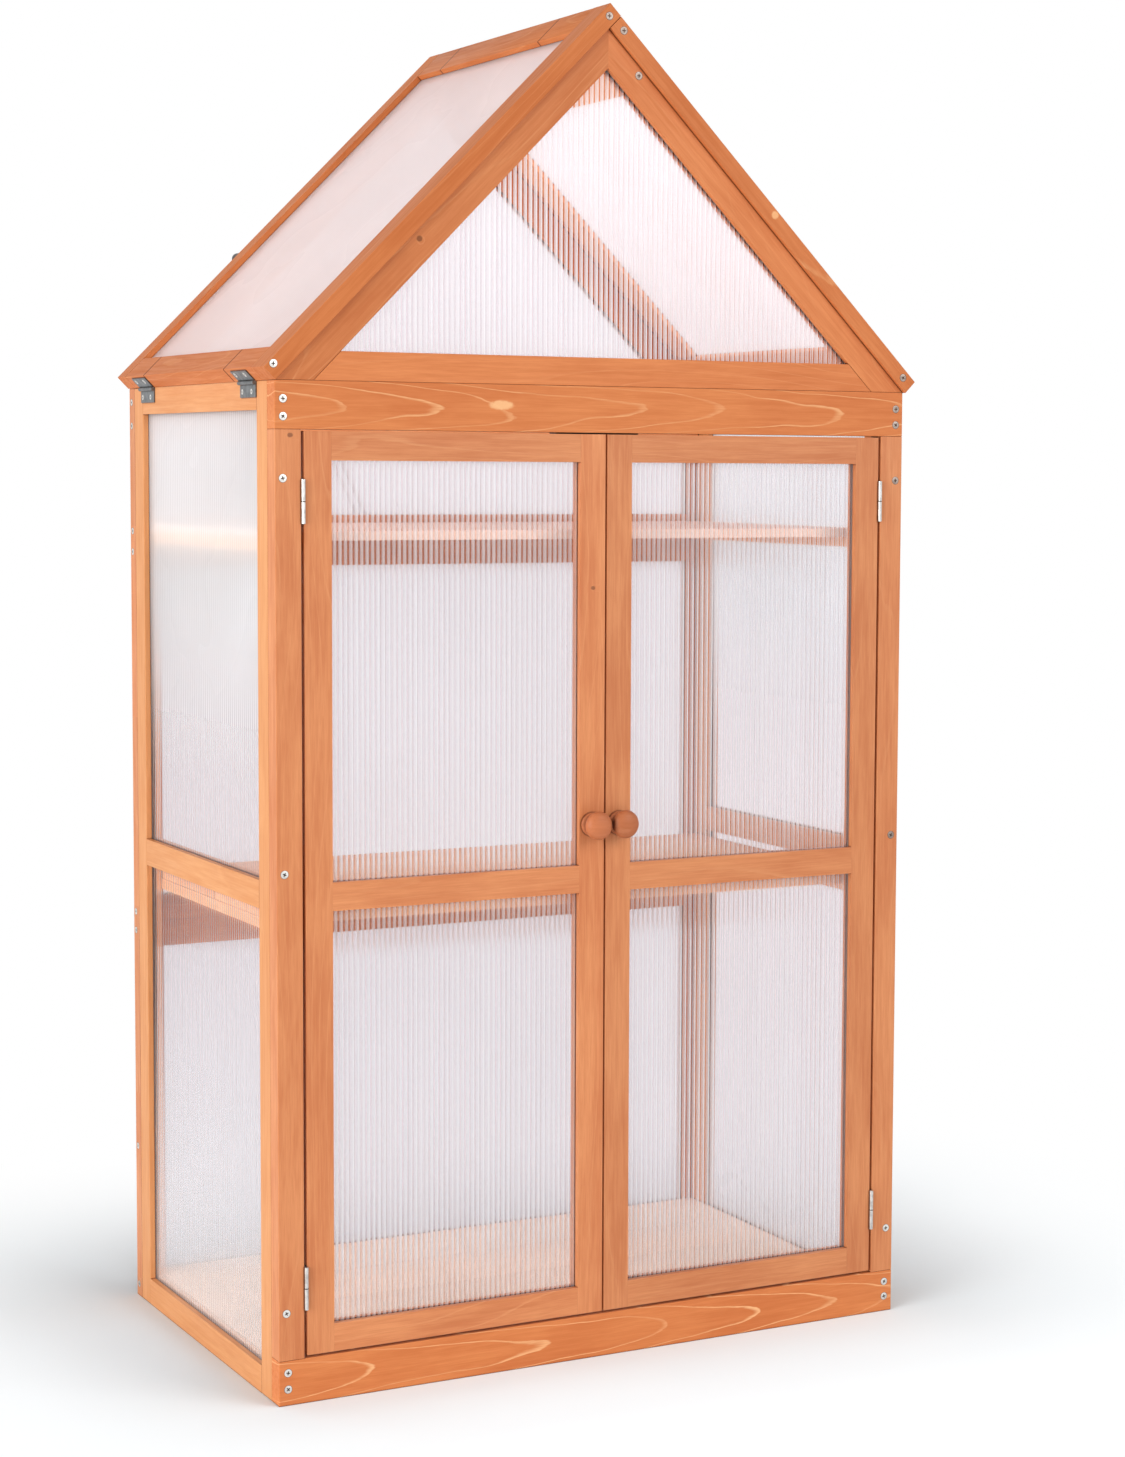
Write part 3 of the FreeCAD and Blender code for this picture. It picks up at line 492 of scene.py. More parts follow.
@dataclass(frozen=True)
class FlutedSheet:
    """Twin-wall sheet: two clear skins over milky ribs that let light through."""

    milk: Colour = (0.90, 0.95, 0.975)
    shaded_milk: float = 0.965
    clear: Colour = (0.965, 0.935, 0.95)
    bent: Colour = (0.98, 0.985, 0.99)
    flute_pitch: float = 6.05
    foot_height: float = 0.06
    foot_rail: float = 0.52
    rail_height: float = 0.56
    top_height: float = 0.92
    rib_width: float = 2.1
    rib_softness: float = 0.045
    rib_chance: float = 0.26
    rib_share: float = 0.82
    rib_tone: float = 1.0
    tone_softness: float = 0.06
    skin_share: float = 0.02
    glint_share: float = 0.40
    glint_roughness: float = 0.38
    glow_share: float = 0.70
    blur_share: float = 0.82
    misted_blur_share: float = 0.1
    blur: float = 0.22
    bend: float = 1.35
    lens: float = 4.6
    gloss: tuple[float, float] = (0.22, 0.34)
    # Painted light: the milky parts glow a little, standing in for light carried along inside the
    # twin wall.
    painted_glow: float = 0.08
    lamp_share: float = 0.90
    cloud: Figure = Figure(6.0)

    def material(
        self,
        name: str,
        across: Axis,
        haze_share: float = 0.0,
        top_haze: float = 0.0,
        foot_haze: float = 0.0,
    ) -> Material:
        """Make the sheet for panes whose flutes follow each other along one axis.

        Args:
            name: Name of the material.
            across: Axis along which the flutes follow each other.
            haze_share: Share of the light that the clear skins scatter besides their own.
            top_haze: The same share at the top, from where it falls to the middle rails.
            foot_haze: The same share at the foot, from where it falls to the middle rails.

        Returns:
            The material.
        """
        sheet = NodeSheet(bpy.data.materials.new(name))
        parts = sheet.split(sheet.place)
        height = parts[Axis.UP.value]
        flute = sheet.math("DIVIDE", parts[across.value], self.flute_pitch * MM)
        offset = sheet.math("SUBTRACT", sheet.math("FRACT", flute), 0.5)
        chance = sheet.add(
            "TexWhiteNoise", {"W": sheet.math("FLOOR", flute)}, noise_dimensions="1D").outputs[0]
        gap = sheet.math("MULTIPLY", sheet.math("ABSOLUTE", offset), sheet.math(
            "MULTIPLY_ADD", chance, self.rib_chance, 1.0 - 0.5 * self.rib_chance))
        half = 0.5 * self.rib_width / self.flute_pitch
        skin = self.skin_share + haze_share
        rib = sheet.span(
            gap, half + self.rib_softness, half - self.rib_softness, skin,
            max(self.rib_share, skin))
        clarity = self.blur_share
        if top_haze:
            mist = sheet.span(height, self.rail_height, self.top_height, 0.0, top_haze)
            rib = sheet.math("MAXIMUM", rib, mist)
            clarity = sheet.span(
                height, self.rail_height, self.top_height, clarity, self.misted_blur_share)
        if foot_haze:
            mist = sheet.span(height, self.foot_rail, self.foot_height, 0.0, foot_haze)
            rib = sheet.math("MAXIMUM", rib, mist)
        cloud = sheet.noise(sheet.place, self.cloud)
        cast = sheet.blend(
            sheet.span(cloud, 0.35, 0.7), opaque(self.milk), opaque(self.milk, self.shaded_milk))
        if self.rib_tone < 1.0:
            line = sheet.span(gap, half + self.tone_softness, half - self.tone_softness)
            cast = sheet.blend(line, cast, opaque(self.milk, self.rib_tone))
        lit = sheet.add("BsdfPrincipled", {
            "Base Color": cast,
            "Roughness": sheet.span(cloud, 0.3, 0.7, *self.gloss),
            "Specular IOR Level": 0.4,
            # Painted light: a faint glow of the milk.
            "Emission Color": opaque(self.milk),
            "Emission Strength": self.painted_glow,
        })
        glint = sheet.add("BsdfGlossy", {"Color": cast, "Roughness": self.glint_roughness})
        clear = sheet.add("BsdfTransparent", {"Color": opaque(self.clear)})
        face = sheet.add("NewGeometry").outputs
        sideways = sheet.add(
            "VectorTransform", {"Vector": [float(axis is across) for axis in Axis]},
            vector_type="VECTOR", convert_from="OBJECT", convert_to="WORLD").outputs[0]
        tilt = sheet.scaled(sideways, sheet.math("MULTIPLY", offset, self.lens))
        bent = sheet.add("BsdfRefraction", {
            "Color": opaque(self.bent),
            "Roughness": self.blur,
            "IOR": self.bend,
            "Normal": sheet.vector("NORMALIZE", sheet.vector("ADD", face["Normal"], tilt)),
        })
        passed = sheet.cross(
            clarity, sheet.add("BsdfTranslucent", {"Color": cast}),
            sheet.cross(face["Backfacing"], bent, clear))
        milky = sheet.cross(
            self.glow_share, sheet.cross(self.glint_share, lit, glint), passed)
        lamp = sheet.add("BsdfTransparent", {"Color": opaque((self.lamp_share,) * 3)})
        lamp_ray = sheet.add("LightPath").outputs["Is Shadow Ray"]
        return sheet.finish(sheet.cross(lamp_ray, sheet.cross(rib, clear, milky), lamp))


@dataclass(frozen=True)
class PlatedSteel:
    """Zinc-plated steel with fine drawing marks and slight clouds."""

    colour: Colour
    shade: Colour
    roughness: float = 0.32
    metal: float = 1.0
    # Colour of the painted shade in the screws' cross recess and in the dark ring round each head.
    recess: Colour | None = None
    # Colour of the seam lines and of the painted shade in joints and gaps, and the reach of that
    # painted shade.
    joint: Colour = (0.03, 0.022, 0.018)
    crevice_shade_reach: float = 0.0012
    seams: tuple[Seam, ...] = ()
    marks: Figure = Figure(2600.0, 2.0, 0.6, 0.06)
    cloud: Figure = Figure(160.0, 3.0)
    roughness_spread: tuple[float, float] = (-0.08, 0.12)
    relief: float = 0.00008

    def material(self, name: str) -> Material:
        """Make the plate's finish.

        Args:
            name: Name of the material.

        Returns:
            The material.
        """
        sheet = NodeSheet(bpy.data.materials.new(name))
        marks = sheet.noise(sheet.place, self.marks)
        cloud = sheet.noise(sheet.place, self.cloud)
        colour = sheet.blend(sheet.span(cloud, 0.35, 0.7), opaque(self.colour), opaque(self.shade))
        # Painted shade where the mesh's recess attribute says: in the cross recess and in the ring
        # round the head.
        if self.recess:
            shaded_pit = sheet.add("Attribute", attribute_name="recess").outputs["Fac"]
            colour = sheet.blend(sheet.span(shaded_pit, 0.3, 0.8), colour, opaque(self.recess))
        gloss = [self.roughness + step for step in self.roughness_spread]
        return sheet.finish(sheet.add("BsdfPrincipled", {
            # Painted shade in joints and gaps, and dark seam lines.
            "Base Color": sheet.paint_crevice_shade_and_seams(colour, self.joint, self.crevice_shade_reach, self.seams),
            "Metallic": self.metal,
            "Roughness": sheet.span(marks, 0.3, 0.75, *gloss),
            "Normal": sheet.bump(marks, 0.25, self.relief),
        }))


@dataclass(frozen=True)
class MouldedPlastic:
    """Black moulded plastic with a fine satin grain."""

    colour: Colour = (0.018, 0.018, 0.02)
    dusty: float = 2.2
    roughness: float = 0.42
    roughness_spread: float = 0.15
    pebble: Figure = Figure(1900.0)
    dust: Figure = Figure(90.0, 3.0)
    relief: float = 0.0001

    def material(self, name: str) -> Material:
        """Make the plastic's finish.

        Args:
            name: Name of the material.

        Returns:
            The material.
        """
        sheet = NodeSheet(bpy.data.materials.new(name))
        pebble = sheet.noise(sheet.place, self.pebble)
        dust = sheet.noise(sheet.place, self.dust)
        return sheet.finish(sheet.add("BsdfPrincipled", {
            "Base Color": sheet.blend(
                sheet.span(dust, 0.45, 0.8), opaque(self.colour),
                opaque(self.colour, self.dusty)),
            "Roughness": sheet.span(
                dust, 0.3, 0.8, self.roughness, self.roughness + self.roughness_spread),
            "Normal": sheet.bump(pebble, 0.3, self.relief),
        }))


def dress(material: Material, *nodes: str) -> None:
    """Give carried-over nodes a material.

    Args:
        material: Finish of the nodes.
        nodes: Names of the nodes.
    """
    for name in nodes:
        for slot in frame["nodes"][name].material_slots:
            slot.material = material


def make_piece(
    name: str, shape: Shape, material: Material, body: str, smooth: float = 0.0
) -> bpy.types.Object:
    """Turn a bmesh into a piece that rides on a body.

    Args:
        name: Name of the piece.
        shape: Finished bmesh, which is freed.
        material: Finish of the piece.
        body: Body on which the piece rides.
        smooth: Angle in degrees under which edges are shaded smooth.

    Returns:
        The new object.
    """
    bmesh.ops.recalc_face_normals(shape, faces=shape.faces)
    mesh = bpy.data.meshes.new(name)
    if smooth:
        for face in shape.faces:
            face.smooth = True
        for edge in shape.edges:
            edge.smooth = edge.calc_face_angle(math.pi) < math.radians(smooth)
    shape.to_mesh(mesh)
    shape.free()
    mesh.materials.append(material)
    thing = bpy.data.objects.new(name, mesh)
    bpy.context.scene.collection.objects.link(thing)
    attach(thing, body)
    return thing


@dataclass
class FlatScrews:
    """Countersunk cross-recess screws, each with its head flush in the face, with painted shade in
    the cross recess and in a ring round the head.
    """

    name: str
    body: str
    places: list[tuple[Point, Point]]
    slot: str = "screw_steel"
    head_radius: float = 3.8
    proud: float = 0.25
    rim_height: float = 0.13
    foot_height: float = 0.02
    # Width of the painted dark ring round the head, which stands for the shade in the countersink.
    shade_ring_width: float = 0.7
    recess: float = 1.3
    cross_share: float = 0.56
    notch_share: float = 0.34
    pit_share: float = 0.6
    cross_shade: float = 0.45
    turn_step: float = 0.9
    rim_steps: int = 24
    cross_steps: int = 12

    def sink_loop(
        self, shape: Shape, edges: list[bmesh.types.BMEdge], share: float, height: float
    ) -> list[bmesh.types.BMVert]:
        """Extrude a loop of edges to a loop painted in shade at another height and close that with
        a face.

        Args:
            shape: Bmesh that holds the loop.
            edges: Edges of the loop.
            share: Width of the new loop as a share of the old one's.
            height: Height of the new loop in millimetres.

        Returns:
            The new loop's vertices.
        """
        # Layer that marks the painted shade.
        dark = shape.verts.layers.float["recess"]
        made = bmesh.ops.extrude_edge_only(shape, edges=edges)["geom"]
        loop = [item for item in made if isinstance(item, bmesh.types.BMVert)]
        for vert in loop:
            vert.co = (vert.co.x * share, vert.co.y * share, height * MM)
            vert[dark] = 1.0
        bmesh.ops.edgeloop_fill(shape, edges=[
            item for item in made if isinstance(item, bmesh.types.BMEdge)
            and all(vert in loop for vert in item.verts)])
        return loop

    def add_head(self, shape: Shape, place: Matrix) -> None:
        """Add one head that faces along the place's third axis.

        Args:
            shape: Bmesh that takes the head.
            place: Position and turn of the head, in metres.
        """
        radius = self.head_radius * MM
        dark = shape.verts.layers.float["recess"]
        rim = bmesh.ops.create_circle(shape, segments=self.rim_steps, radius=radius)["verts"]
        cross = bmesh.ops.create_circle(
            shape, segments=self.cross_steps, radius=self.cross_share * radius,
            matrix=Matrix.Rotation(math.pi / self.cross_steps, 4, "Z"))["verts"]
        for vert in cross[1::3]:
            vert.co *= self.notch_share
        for vert in rim:
            vert.co.z = self.rim_height * MM
        # The cross loop takes part of the painted shade.
        for vert in cross:
            vert.co.z = self.proud * MM
            vert[dark] = self.cross_shade
        rim_edges, cross_edges = (
            list({edge for vert in loop for edge in vert.link_edges}) for loop in (rim, cross))
        bmesh.ops.bridge_loops(shape, edges=rim_edges + cross_edges)
        # The pit in the cross and the ring round the head are painted fully in shade.
        shaded_pit = self.sink_loop(shape, cross_edges, self.pit_share, self.proud - self.recess)
        foot = self.sink_loop(
            shape, rim_edges, 1.0 + self.shade_ring_width / self.head_radius, self.foot_height)
        bmesh.ops.transform(shape, matrix=place, verts=rim + cross + shaded_pit + foot)

    def build(self, material: Material) -> bpy.types.Object:
        """Build the screws as one piece.

        Args:
            material: Finish of the screws.

        Returns:
            The new object.
        """
        shape = bmesh.new()
        shape.verts.layers.float.new("recess")
        for count, (spot, outward) in enumerate(self.places):
            turn = Vector(outward).normalized().to_track_quat("Z", "Y").to_matrix().to_4x4()
            spin = Matrix.Rotation(self.turn_step * count, 4, "Z")
            self.add_head(shape, Matrix.Translation(Vector(spot) * MM) @ turn @ spin)
        LOG.info("%s: %d screws", self.name, len(self.places))
        return make_piece(self.name, shape, material, self.body)


@dataclass
class TurnedKnob:
    """Mushroom knob of a door, turned from one piece of wood: radius and depth in steps."""

    side: str
    height: float = 594.0
    inset: float = 16.5
    steps: int = 56
    smooth: float = 40.0
    doubles: float = 0.00002
    profile: tuple[tuple[float, float], ...] = (
        (0.0, 0.05), (12.3, 0.05), (13.0, 0.8), (13.0, 2.9), (12.4, 3.8), (10.2, 4.5),
        (7.6, 5.6), (6.7, 7.6), (6.8, 9.8), (7.8, 11.6), (10.4, 12.8), (13.4, 13.6),
        (15.1, 15.1), (15.5, 17.2), (15.1, 19.4), (13.8, 21.8), (11.4, 23.9),
        (8.0, 25.2), (4.2, 25.85), (0.0, 26.0),
    )

    def build(self, material: Material) -> bpy.types.Object:
        """Spin the knob's outline about its axis.

        Args:
            material: Finish of the knob.

        Returns:
            The new object, which stands for the plainer knob of the frame.
        """
        across = self.inset if self.side == "right" else -self.inset
        centre = Vector((across, FRONT, self.height)) * MM
        shape = bmesh.new()
        line = [
            shape.verts.new(centre + Vector((radius, -depth, 0.0)) * MM)
            for radius, depth in self.profile
        ]
        edges = [shape.edges.new(pair) for pair in zip(line, line[1:])]
        bmesh.ops.spin(
            shape, geom=line + edges, cent=centre, axis=(0.0, 1.0, 0.0),
            angle=2.0 * math.pi, steps=self.steps, use_merge=True)
        bmesh.ops.remove_doubles(shape, verts=shape.verts, dist=self.doubles)
        thing = make_piece(
            self.side + "_turned_knob", shape, material, self.side + "_door",
            self.smooth)
        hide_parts(self.side + "_door_knob")
        LOG.info("%s door: turned knob", self.side)
        return thing


@dataclass
class Cabinet:
    """Face frame, side walls, rear wall, shelves and floor, with the screws that hold them."""

    fir: StainedSoftwood = StainedSoftwood()
    figured_fir: StainedSoftwood = StainedSoftwood(
        ground=(0.69, 0.235, 0.080), deep=(0.56, 0.155, 0.048), ring=(0.88, 0.48, 0.23),
        ring_strength=0.7, ring_levels=2.0, ring_slope=5.0, arch_pitch=0.135, arch_bend=2300.0,
        sheen=0.12)
    # Paler, yellower copy of the fir for the side walls: partly the walls' own tone, partly painted
    # light for the washed-out look of the brightly lit left side.
    pale_lit_side_fir: StainedSoftwood = StainedSoftwood(
        ground=(0.72, 0.315, 0.125), deep=(0.60, 0.225, 0.078), sheen=0.25)
    # Brighter copy of the fir for the boards and cleats inside: its brightness is painted light,
    # for the light that the panes let in.
    inner: StainedSoftwood = StainedSoftwood(
        ground=(0.96, 0.50, 0.25), deep=(0.86, 0.38, 0.17), ring=(0.97, 0.62, 0.36),
        ring_strength=0.5, ring_levels=8.0, ring_slope=40.0)
    # Paler copies of the brightened inner fir for the upper shelf and the floor boards; on the
    # floor boards the extra paleness is painted light for the dim floor.
    lit_upper_shelf_fir: StainedSoftwood = replace(
        inner, ground=(0.90, 0.60, 0.46), deep=(0.82, 0.50, 0.36), ring=(0.94, 0.68, 0.52))
    lit_floor_board_fir: StainedSoftwood = replace(
        inner, ground=(0.97, 0.76, 0.60), deep=(0.94, 0.66, 0.48), ring=(0.98, 0.80, 0.64))
    side_stiles: Parting = Parting(pitch=(5.0, 5.0, 10.0))
    side_rails: Parting = Parting((-5.0, -5.0, -0.1), (5.0, 10.0, 0.4))
    rear_frames: Parting = Parting((-0.35, -5.0, -0.2), (0.70, 10.0, 0.222))
    rear_post: float = 0.35
    shelf_boards: Parting = Parting((-5.0, -0.194, -0.1), (10.0, 0.1013, 0.3))
    floor_boards: Parting = Parting((-5.0, -0.2104, -0.1), (10.0, 0.1065, 0.3))
    cleats: Parting = Parting((-5.0, -5.0, -0.1), (5.0, 10.0, 0.3))
    post_knot: Knot = Knot((-363.4, FRONT, 1012.0), 2.4, 0.8)
    header_eye: Knot = Knot((-125.0, FRONT, 1046.0), 5.0, 0.36, pale=True)
    high_screws: tuple[tuple[float, float], ...] = (
        (371.0, 1049.0), (371.0, 1031.0), (371.5, 968.0), (371.5, 560.5))
    low_screws: tuple[tuple[float, float], ...] = ((371.5, 98.5), (370.0, 35.0), (370.0, 17.5))
    rear_screws: tuple[float, ...] = (1052.0, 1025.0, 904.0, 880.0, 459.0, 437.0, 180.0, 14.0)

    def dress_wood(self) -> None:
        """Give every wooden member the finish of its own grain."""
        fir, pale, boards = self.fir, self.pale_lit_side_fir, self.shelf_boards
        fir.cover("left_post", grain=Grain.UPRIGHT, seed=3.0, knots=(self.post_knot,))
        fir.cover("right_post", grain=Grain.UPRIGHT, seed=7.0)
        for name, middle, seed, knots in (
            ("header", 1.041, 11.0, (self.header_eye,)), ("plinth", 0.022, 17.0, ()),
        ):
            replace(self.figured_fir, arch_middle=-middle).cover(
                name, grain=Grain.ACROSS, seed=seed, knots=knots)
        # Side walls in the paler copy of the fir, partly painted light.
        pale.cover("left_side_stiles", "right_side_stiles", grain=Grain.UPRIGHT,
                   parting=self.side_stiles, seed=19.0)
        pale.cover("left_side_rails", "right_side_rails", grain=Grain.DEEP,
                   parting=self.side_rails, seed=23.0)
        rear = fir.cover("rear_middle_frame", "rear_upper_frame", grain=Grain.ACROSS,
                         parting=self.rear_frames, seed=29.0, upright_beyond=self.rear_post)
        dress(rear, "rear_lower_frame")
        # Shelves, floor boards and cleats in the brightened inner fir, with its painted light.
        self.inner.cover("middle_shelf", grain=Grain.ACROSS, parting=boards, seed=31.0)
        self.lit_upper_shelf_fir.cover("upper_shelf", grain=Grain.ACROSS, parting=boards, seed=33.0)
        self.lit_floor_board_fir.cover(
            "floor_boards", grain=Grain.ACROSS, parting=self.floor_boards, seed=37.0)
        self.inner.cover("shelf_cleats", grain=Grain.DEEP, parting=self.cleats, seed=41.0)
        LOG.info("cabinet: wood dressed")

    def dress_panes(self, pane: FlutedSheet) -> None:
        """Give the panes of the walls their flutes.

        Args:
            pane: Finish of the twin-wall sheet.
        """
        sides = replace(
            pane, painted_glow=0.0, lens=1.6, milk=(0.91, 0.95, 0.975), lamp_share=0.74,
            rib_tone=0.87, top_height=0.86)
        dress(sides.material("sheet_sides", Axis.DEEP, 0.08, 0.85, 0.6),
              "left_side_panes", "right_side_panes")
        rear = replace(pane, rib_share=0.62, blur_share=0.5)
        dress(rear.material("sheet_rear", Axis.ACROSS, 0.35), "rear_panes")
        LOG.info("cabinet: panes dressed")

    def add_screws(self, steel: Material, shaded_steel: Material) -> None:
        """Set the screws of the face frame and of the rear corners.

        Args:
            steel: Finish of the bright screws.
            shaded_steel: Finish of the screws painted in shade, a darker copy of the screw steel.
        """
        left = tuple(
            (-across, height) for across, height in self.high_screws + self.low_screws)
        for name, spots, finish in (
            ("bright_front_screws", left + self.low_screws, steel),
            # The right-hand high screws take the darker steel as painted shade.
            ("shaded_front_screws", self.high_screws, shaded_steel),
        ):
            FlatScrews(name, "cabinet", [
                ((across, FRONT, height), (0.0, -1.0, 0.0))
                for across, height in spots]).build(finish)
        FlatScrews("rear_corner_screws", "cabinet", [
            ((380.0 * side, 226.0, height), (side, 0.0, 0.0))
            for side in (-1.0, 1.0) for height in self.rear_screws], head_radius=3.4).build(steel)


@dataclass
class Battens:
    """Inner battens: they hold the fixed roof pane from below and stiffen the rear top rail."""

    fir: StainedSoftwood = StainedSoftwood(ground=(0.80, 0.35, 0.15), deep=(0.68, 0.24, 0.09))
    skin_height: float = 1448.0
    thickness: float = 6.6
    clearance: float = 0.2
    slope: tuple[float, float] = (40.2, 507.2)
    depth: tuple[float, float] = (-199.8, 206.8)
    ridge_width: float = 44.0
    side_width: float = 40.0
    joint_gap: float = 0.3
    rear_box: tuple[Point, Point] = ((-361.0, 209.2, 1010.0), (361.0, 214.9, 1040.0))
    chamfer: float = 1.2

    def add_board(self, shape: Shape, low: Point, high: Point, place: Matrix) -> None:
        """Add one board with chamfered edges.

        Args:
            shape: Bmesh that takes the board.
            low: Lowest corner in millimetres.
            high: Highest corner in millimetres.
            place: Matrix that brings the board to its place.
        """
        size = [(end - start) * MM for start, end in zip(low, high)]
        middle = Vector([(end + start) * 0.5 * MM for start, end in zip(low, high)])
        verts = bmesh.ops.create_cube(
            shape, size=1.0,
            matrix=place @ Matrix.Translation(middle) @ Matrix.Diagonal((*size, 1.0)))["verts"]
        edges = list({edge for vert in verts for edge in vert.link_edges})
        bmesh.ops.bevel(
            shape, geom=edges, offset=self.chamfer * MM, offset_type="OFFSET", segments=2,
            profile=0.5, affect="EDGES", material=-1, clamp_overlap=True)

    def build(self) -> None:
        """Build the roof's battens and the rear one, each with its grain."""
        (top, foot), (front, back) = self.slope, self.depth
        low, high = self.clearance, self.clearance + self.thickness
        start, end = top + self.ridge_width, foot - self.side_width
        upper, lower = start + self.joint_gap, end - self.joint_gap
        slab = Matrix.Translation((0.0, 0.0, self.skin_height * MM)) @ Matrix.Rotation(
            math.radians(45.0), 4, "Y")
        for name, finish, grain, seed, place, boards in (
            ("roof_ridge_battens", "fir_battens_deep", Grain.DEEP, 89.0, slab, (
                ((top, front, low), (start, back, high)),
                ((end, front, low), (foot, back, high)))),
            ("roof_side_battens", "fir_battens_falling", Grain.FALLING, 97.0, slab, (
                ((upper, front, low), (lower, front + self.side_width, high)),
                ((upper, back - self.side_width, low), (lower, back, high)))),
            ("rear_top_batten", "fir_batten_rear", Grain.ACROSS, 101.0, Matrix(),
             (self.rear_box,)),
        ):
            shape = bmesh.new()
            for corners in boards:
                self.add_board(shape, *corners, place)
            make_piece(name, shape, self.fir.material(finish, grain, seed=seed),
                       "cabinet")
        LOG.info("battens built")


@dataclass
class Gables:
    """Front and rear gable: two rafters over a rail, and a three-sided pane."""

    fir: StainedSoftwood = StainedSoftwood(
        ground=(0.66, 0.225, 0.079), deep=(0.52, 0.145, 0.045), sheen=0.15)
    halves: Parting = Parting(pitch=(5.0, 5.0, 10.0))
    knot: Knot = Knot((-219.6, FRONT, 1216.3), 3.2)
    screw: tuple[float, float] = (37.0, 1400.4)

    def build(self, pane: FlutedSheet, shaded_steel: Material) -> None:
        """Dress both gables and set their screws.

        Args:
            pane: Finish of the twin-wall sheet.
            shaded_steel: Finish of the screws, a darker copy of the screw steel that paints shade
                on them.
        """
        self.fir.cover("front_gable_rafters", "rear_gable_rafters", grain=Grain.RISING,
                       parting=self.halves, seed=43.0, folded=True, knots=(self.knot,))
        self.fir.cover("front_gable_rail", "rear_gable_rail", grain=Grain.ACROSS,
                       parting=Parting(pitch=(10.0, 5.0, 10.0)), seed=47.0)
        # The gable panes take a fainter painted glow.
        gable_pane = replace(pane, painted_glow=0.03, blur_share=0.6)
        dress(gable_pane.material("sheet_gables", Axis.ACROSS),
              "front_gable_pane", "rear_gable_pane")
        across, height = self.screw
        # The gable screws take the darker steel as painted shade.
        FlatScrews("gable_screws", "cabinet", [
            ((across, face, height), (0.0, math.copysign(1.0, face), 0.0))
            for face in (FRONT, REAR)]).build(shaded_steel)
        LOG.info("gables dressed")


@dataclass
class Roof:
    """Saddle roof: the fixed right slab and the hinged lid on the left."""

    fir: StainedSoftwood = StainedSoftwood(
        ground=(0.62, 0.200, 0.068), deep=(0.50, 0.135, 0.040), sheen=0.06)
    figured_fir: StainedSoftwood = StainedSoftwood(
        ground=(0.65, 0.215, 0.075), deep=(0.51, 0.140, 0.042), ring=(0.86, 0.44, 0.20),
        ring_strength=0.7, ring_levels=5.6, ring_slope=20.0, sheen=0.1)
    ends: tuple[float, float] = (-238.0, 235.0)
    rafter_eye: Knot = Knot((205.5, -238.0, 1260.0), 4.5, pale=True)
    eave_joints: tuple[float, float] = (-119.0, 142.0)
    joint_width: float = 1.3
    hinge_depths: tuple[float, ...] = (-170.0, -143.0, 154.0, 181.0)

    def build(self, pane: FlutedSheet, steel: Material, shaded_steel: Material) -> None:
        """Dress both slabs and set their screws.

        Args:
            pane: Finish of the twin-wall sheet.
            steel: Finish of the lid's bright screws.
            shaded_steel: Finish of the screws painted in shade, a darker copy of the screw steel.
        """
        halves = Parting((-5.0, 0.0, -5.0), (10.0, 5.0, 10.0))
        seams = tuple(Seam(Axis.DEEP, joint, self.joint_width) for joint in self.eave_joints)
        self.figured_fir.cover("roof_rafters", grain=Grain.FALLING, parting=halves, seed=53.0,
                               knots=(self.rafter_eye,))
        self.fir.cover("roof_ridge_rail", "roof_eave_rail", grain=Grain.DEEP, seed=59.0)
        self.fir.cover("lid_rafters", grain=Grain.RISING, parting=halves, seed=61.0)
        self.fir.cover("lid_ridge_rail", "lid_eave_rail", "lid_corner_blocks",
                       grain=Grain.DEEP, seed=67.0, seams=seams)
        slope_pane = replace(pane, milk=(0.955, 0.935, 0.945), blur_share=0.1, lens=2.0)
        dress(slope_pane.material("sheet_roof", Axis.DEEP, 0.76), "roof_pane", "lid_pane")
        # The ridge screws and the right-hand roof end screws take the darker steel as painted
        # shade.
        for name, body, finish, spots in (
            ("lid_ridge_screws", "lid", shaded_steel, ((-1.5, 1460.0),)),
            ("lid_eave_screws", "lid", steel, ((-383.0, 1084.0),)),
            ("roof_end_screws", "cabinet", shaded_steel, ((16.0, 1446.0), (377.0, 1084.6))),
        ):
            FlatScrews(name, body, [
                ((across, end, height), (0.0, math.copysign(1.0, end), 0.0))
                for end in self.ends for across, height in spots]).build(finish)
        for name, body, across, height, outward in (
            ("lid_hinge_wall_screws", "cabinet", -381.3, 1057.0, (-1.0, 0.0, 0.0)),
            ("lid_hinge_lid_screws", "lid", -388.7, 1074.1, (-1.0, 0.0, -1.0)),
        ):
            FlatScrews(name, body, [
                ((across, depth, height), outward) for depth in self.hinge_depths],
                head_radius=2.6, recess=0.6).build(steel)
        LOG.info("roof dressed")


@dataclass
class Door:
    """Door of two stiles, three rails and two panes, with its knob."""

    side: str
    seed: float
    fir: StainedSoftwood = StainedSoftwood()
    # The knob's long reach gathers painted shade under its head and round its neck.
    turned: StainedSoftwood = StainedSoftwood(
        ground=(0.52, 0.165, 0.068), deep=(0.42, 0.12, 0.044), ring=(0.60, 0.24, 0.12),
        ring_strength=0.4, satin=0.42, sheen=0.2, joint=(0.07, 0.016, 0.008), crevice_shade_reach=0.009)
    knots: tuple[Knot, ...] = ()
    stiles: Parting = Parting((-0.175, -5.0, -5.0), (0.35, 10.0, 10.0))
    rails: Parting = Parting((-5.0, -5.0, -0.1), (10.0, 10.0, 0.4))
    skin_haze: float = 0.08

    def build(self, pane: FlutedSheet) -> None:
        """Dress the door and turn its knob.

        Args:
            pane: Finish of the twin-wall sheet.
        """
        name = self.side + "_door"
        self.fir.cover(name + "_stiles", grain=Grain.UPRIGHT, parting=self.stiles,
                       seed=self.seed, knots=self.knots)
        self.fir.cover(name + "_rails", grain=Grain.ACROSS, parting=self.rails,
                       seed=self.seed + 1.0)
        dress(pane.material("sheet_" + name, Axis.ACROSS, self.skin_haze), name + "_panes")
        TurnedKnob(self.side).build(
            self.turned.material("fir_" + self.side + "_knob", Grain.ACROSS, seed=self.seed))
        LOG.info("%s dressed", name)


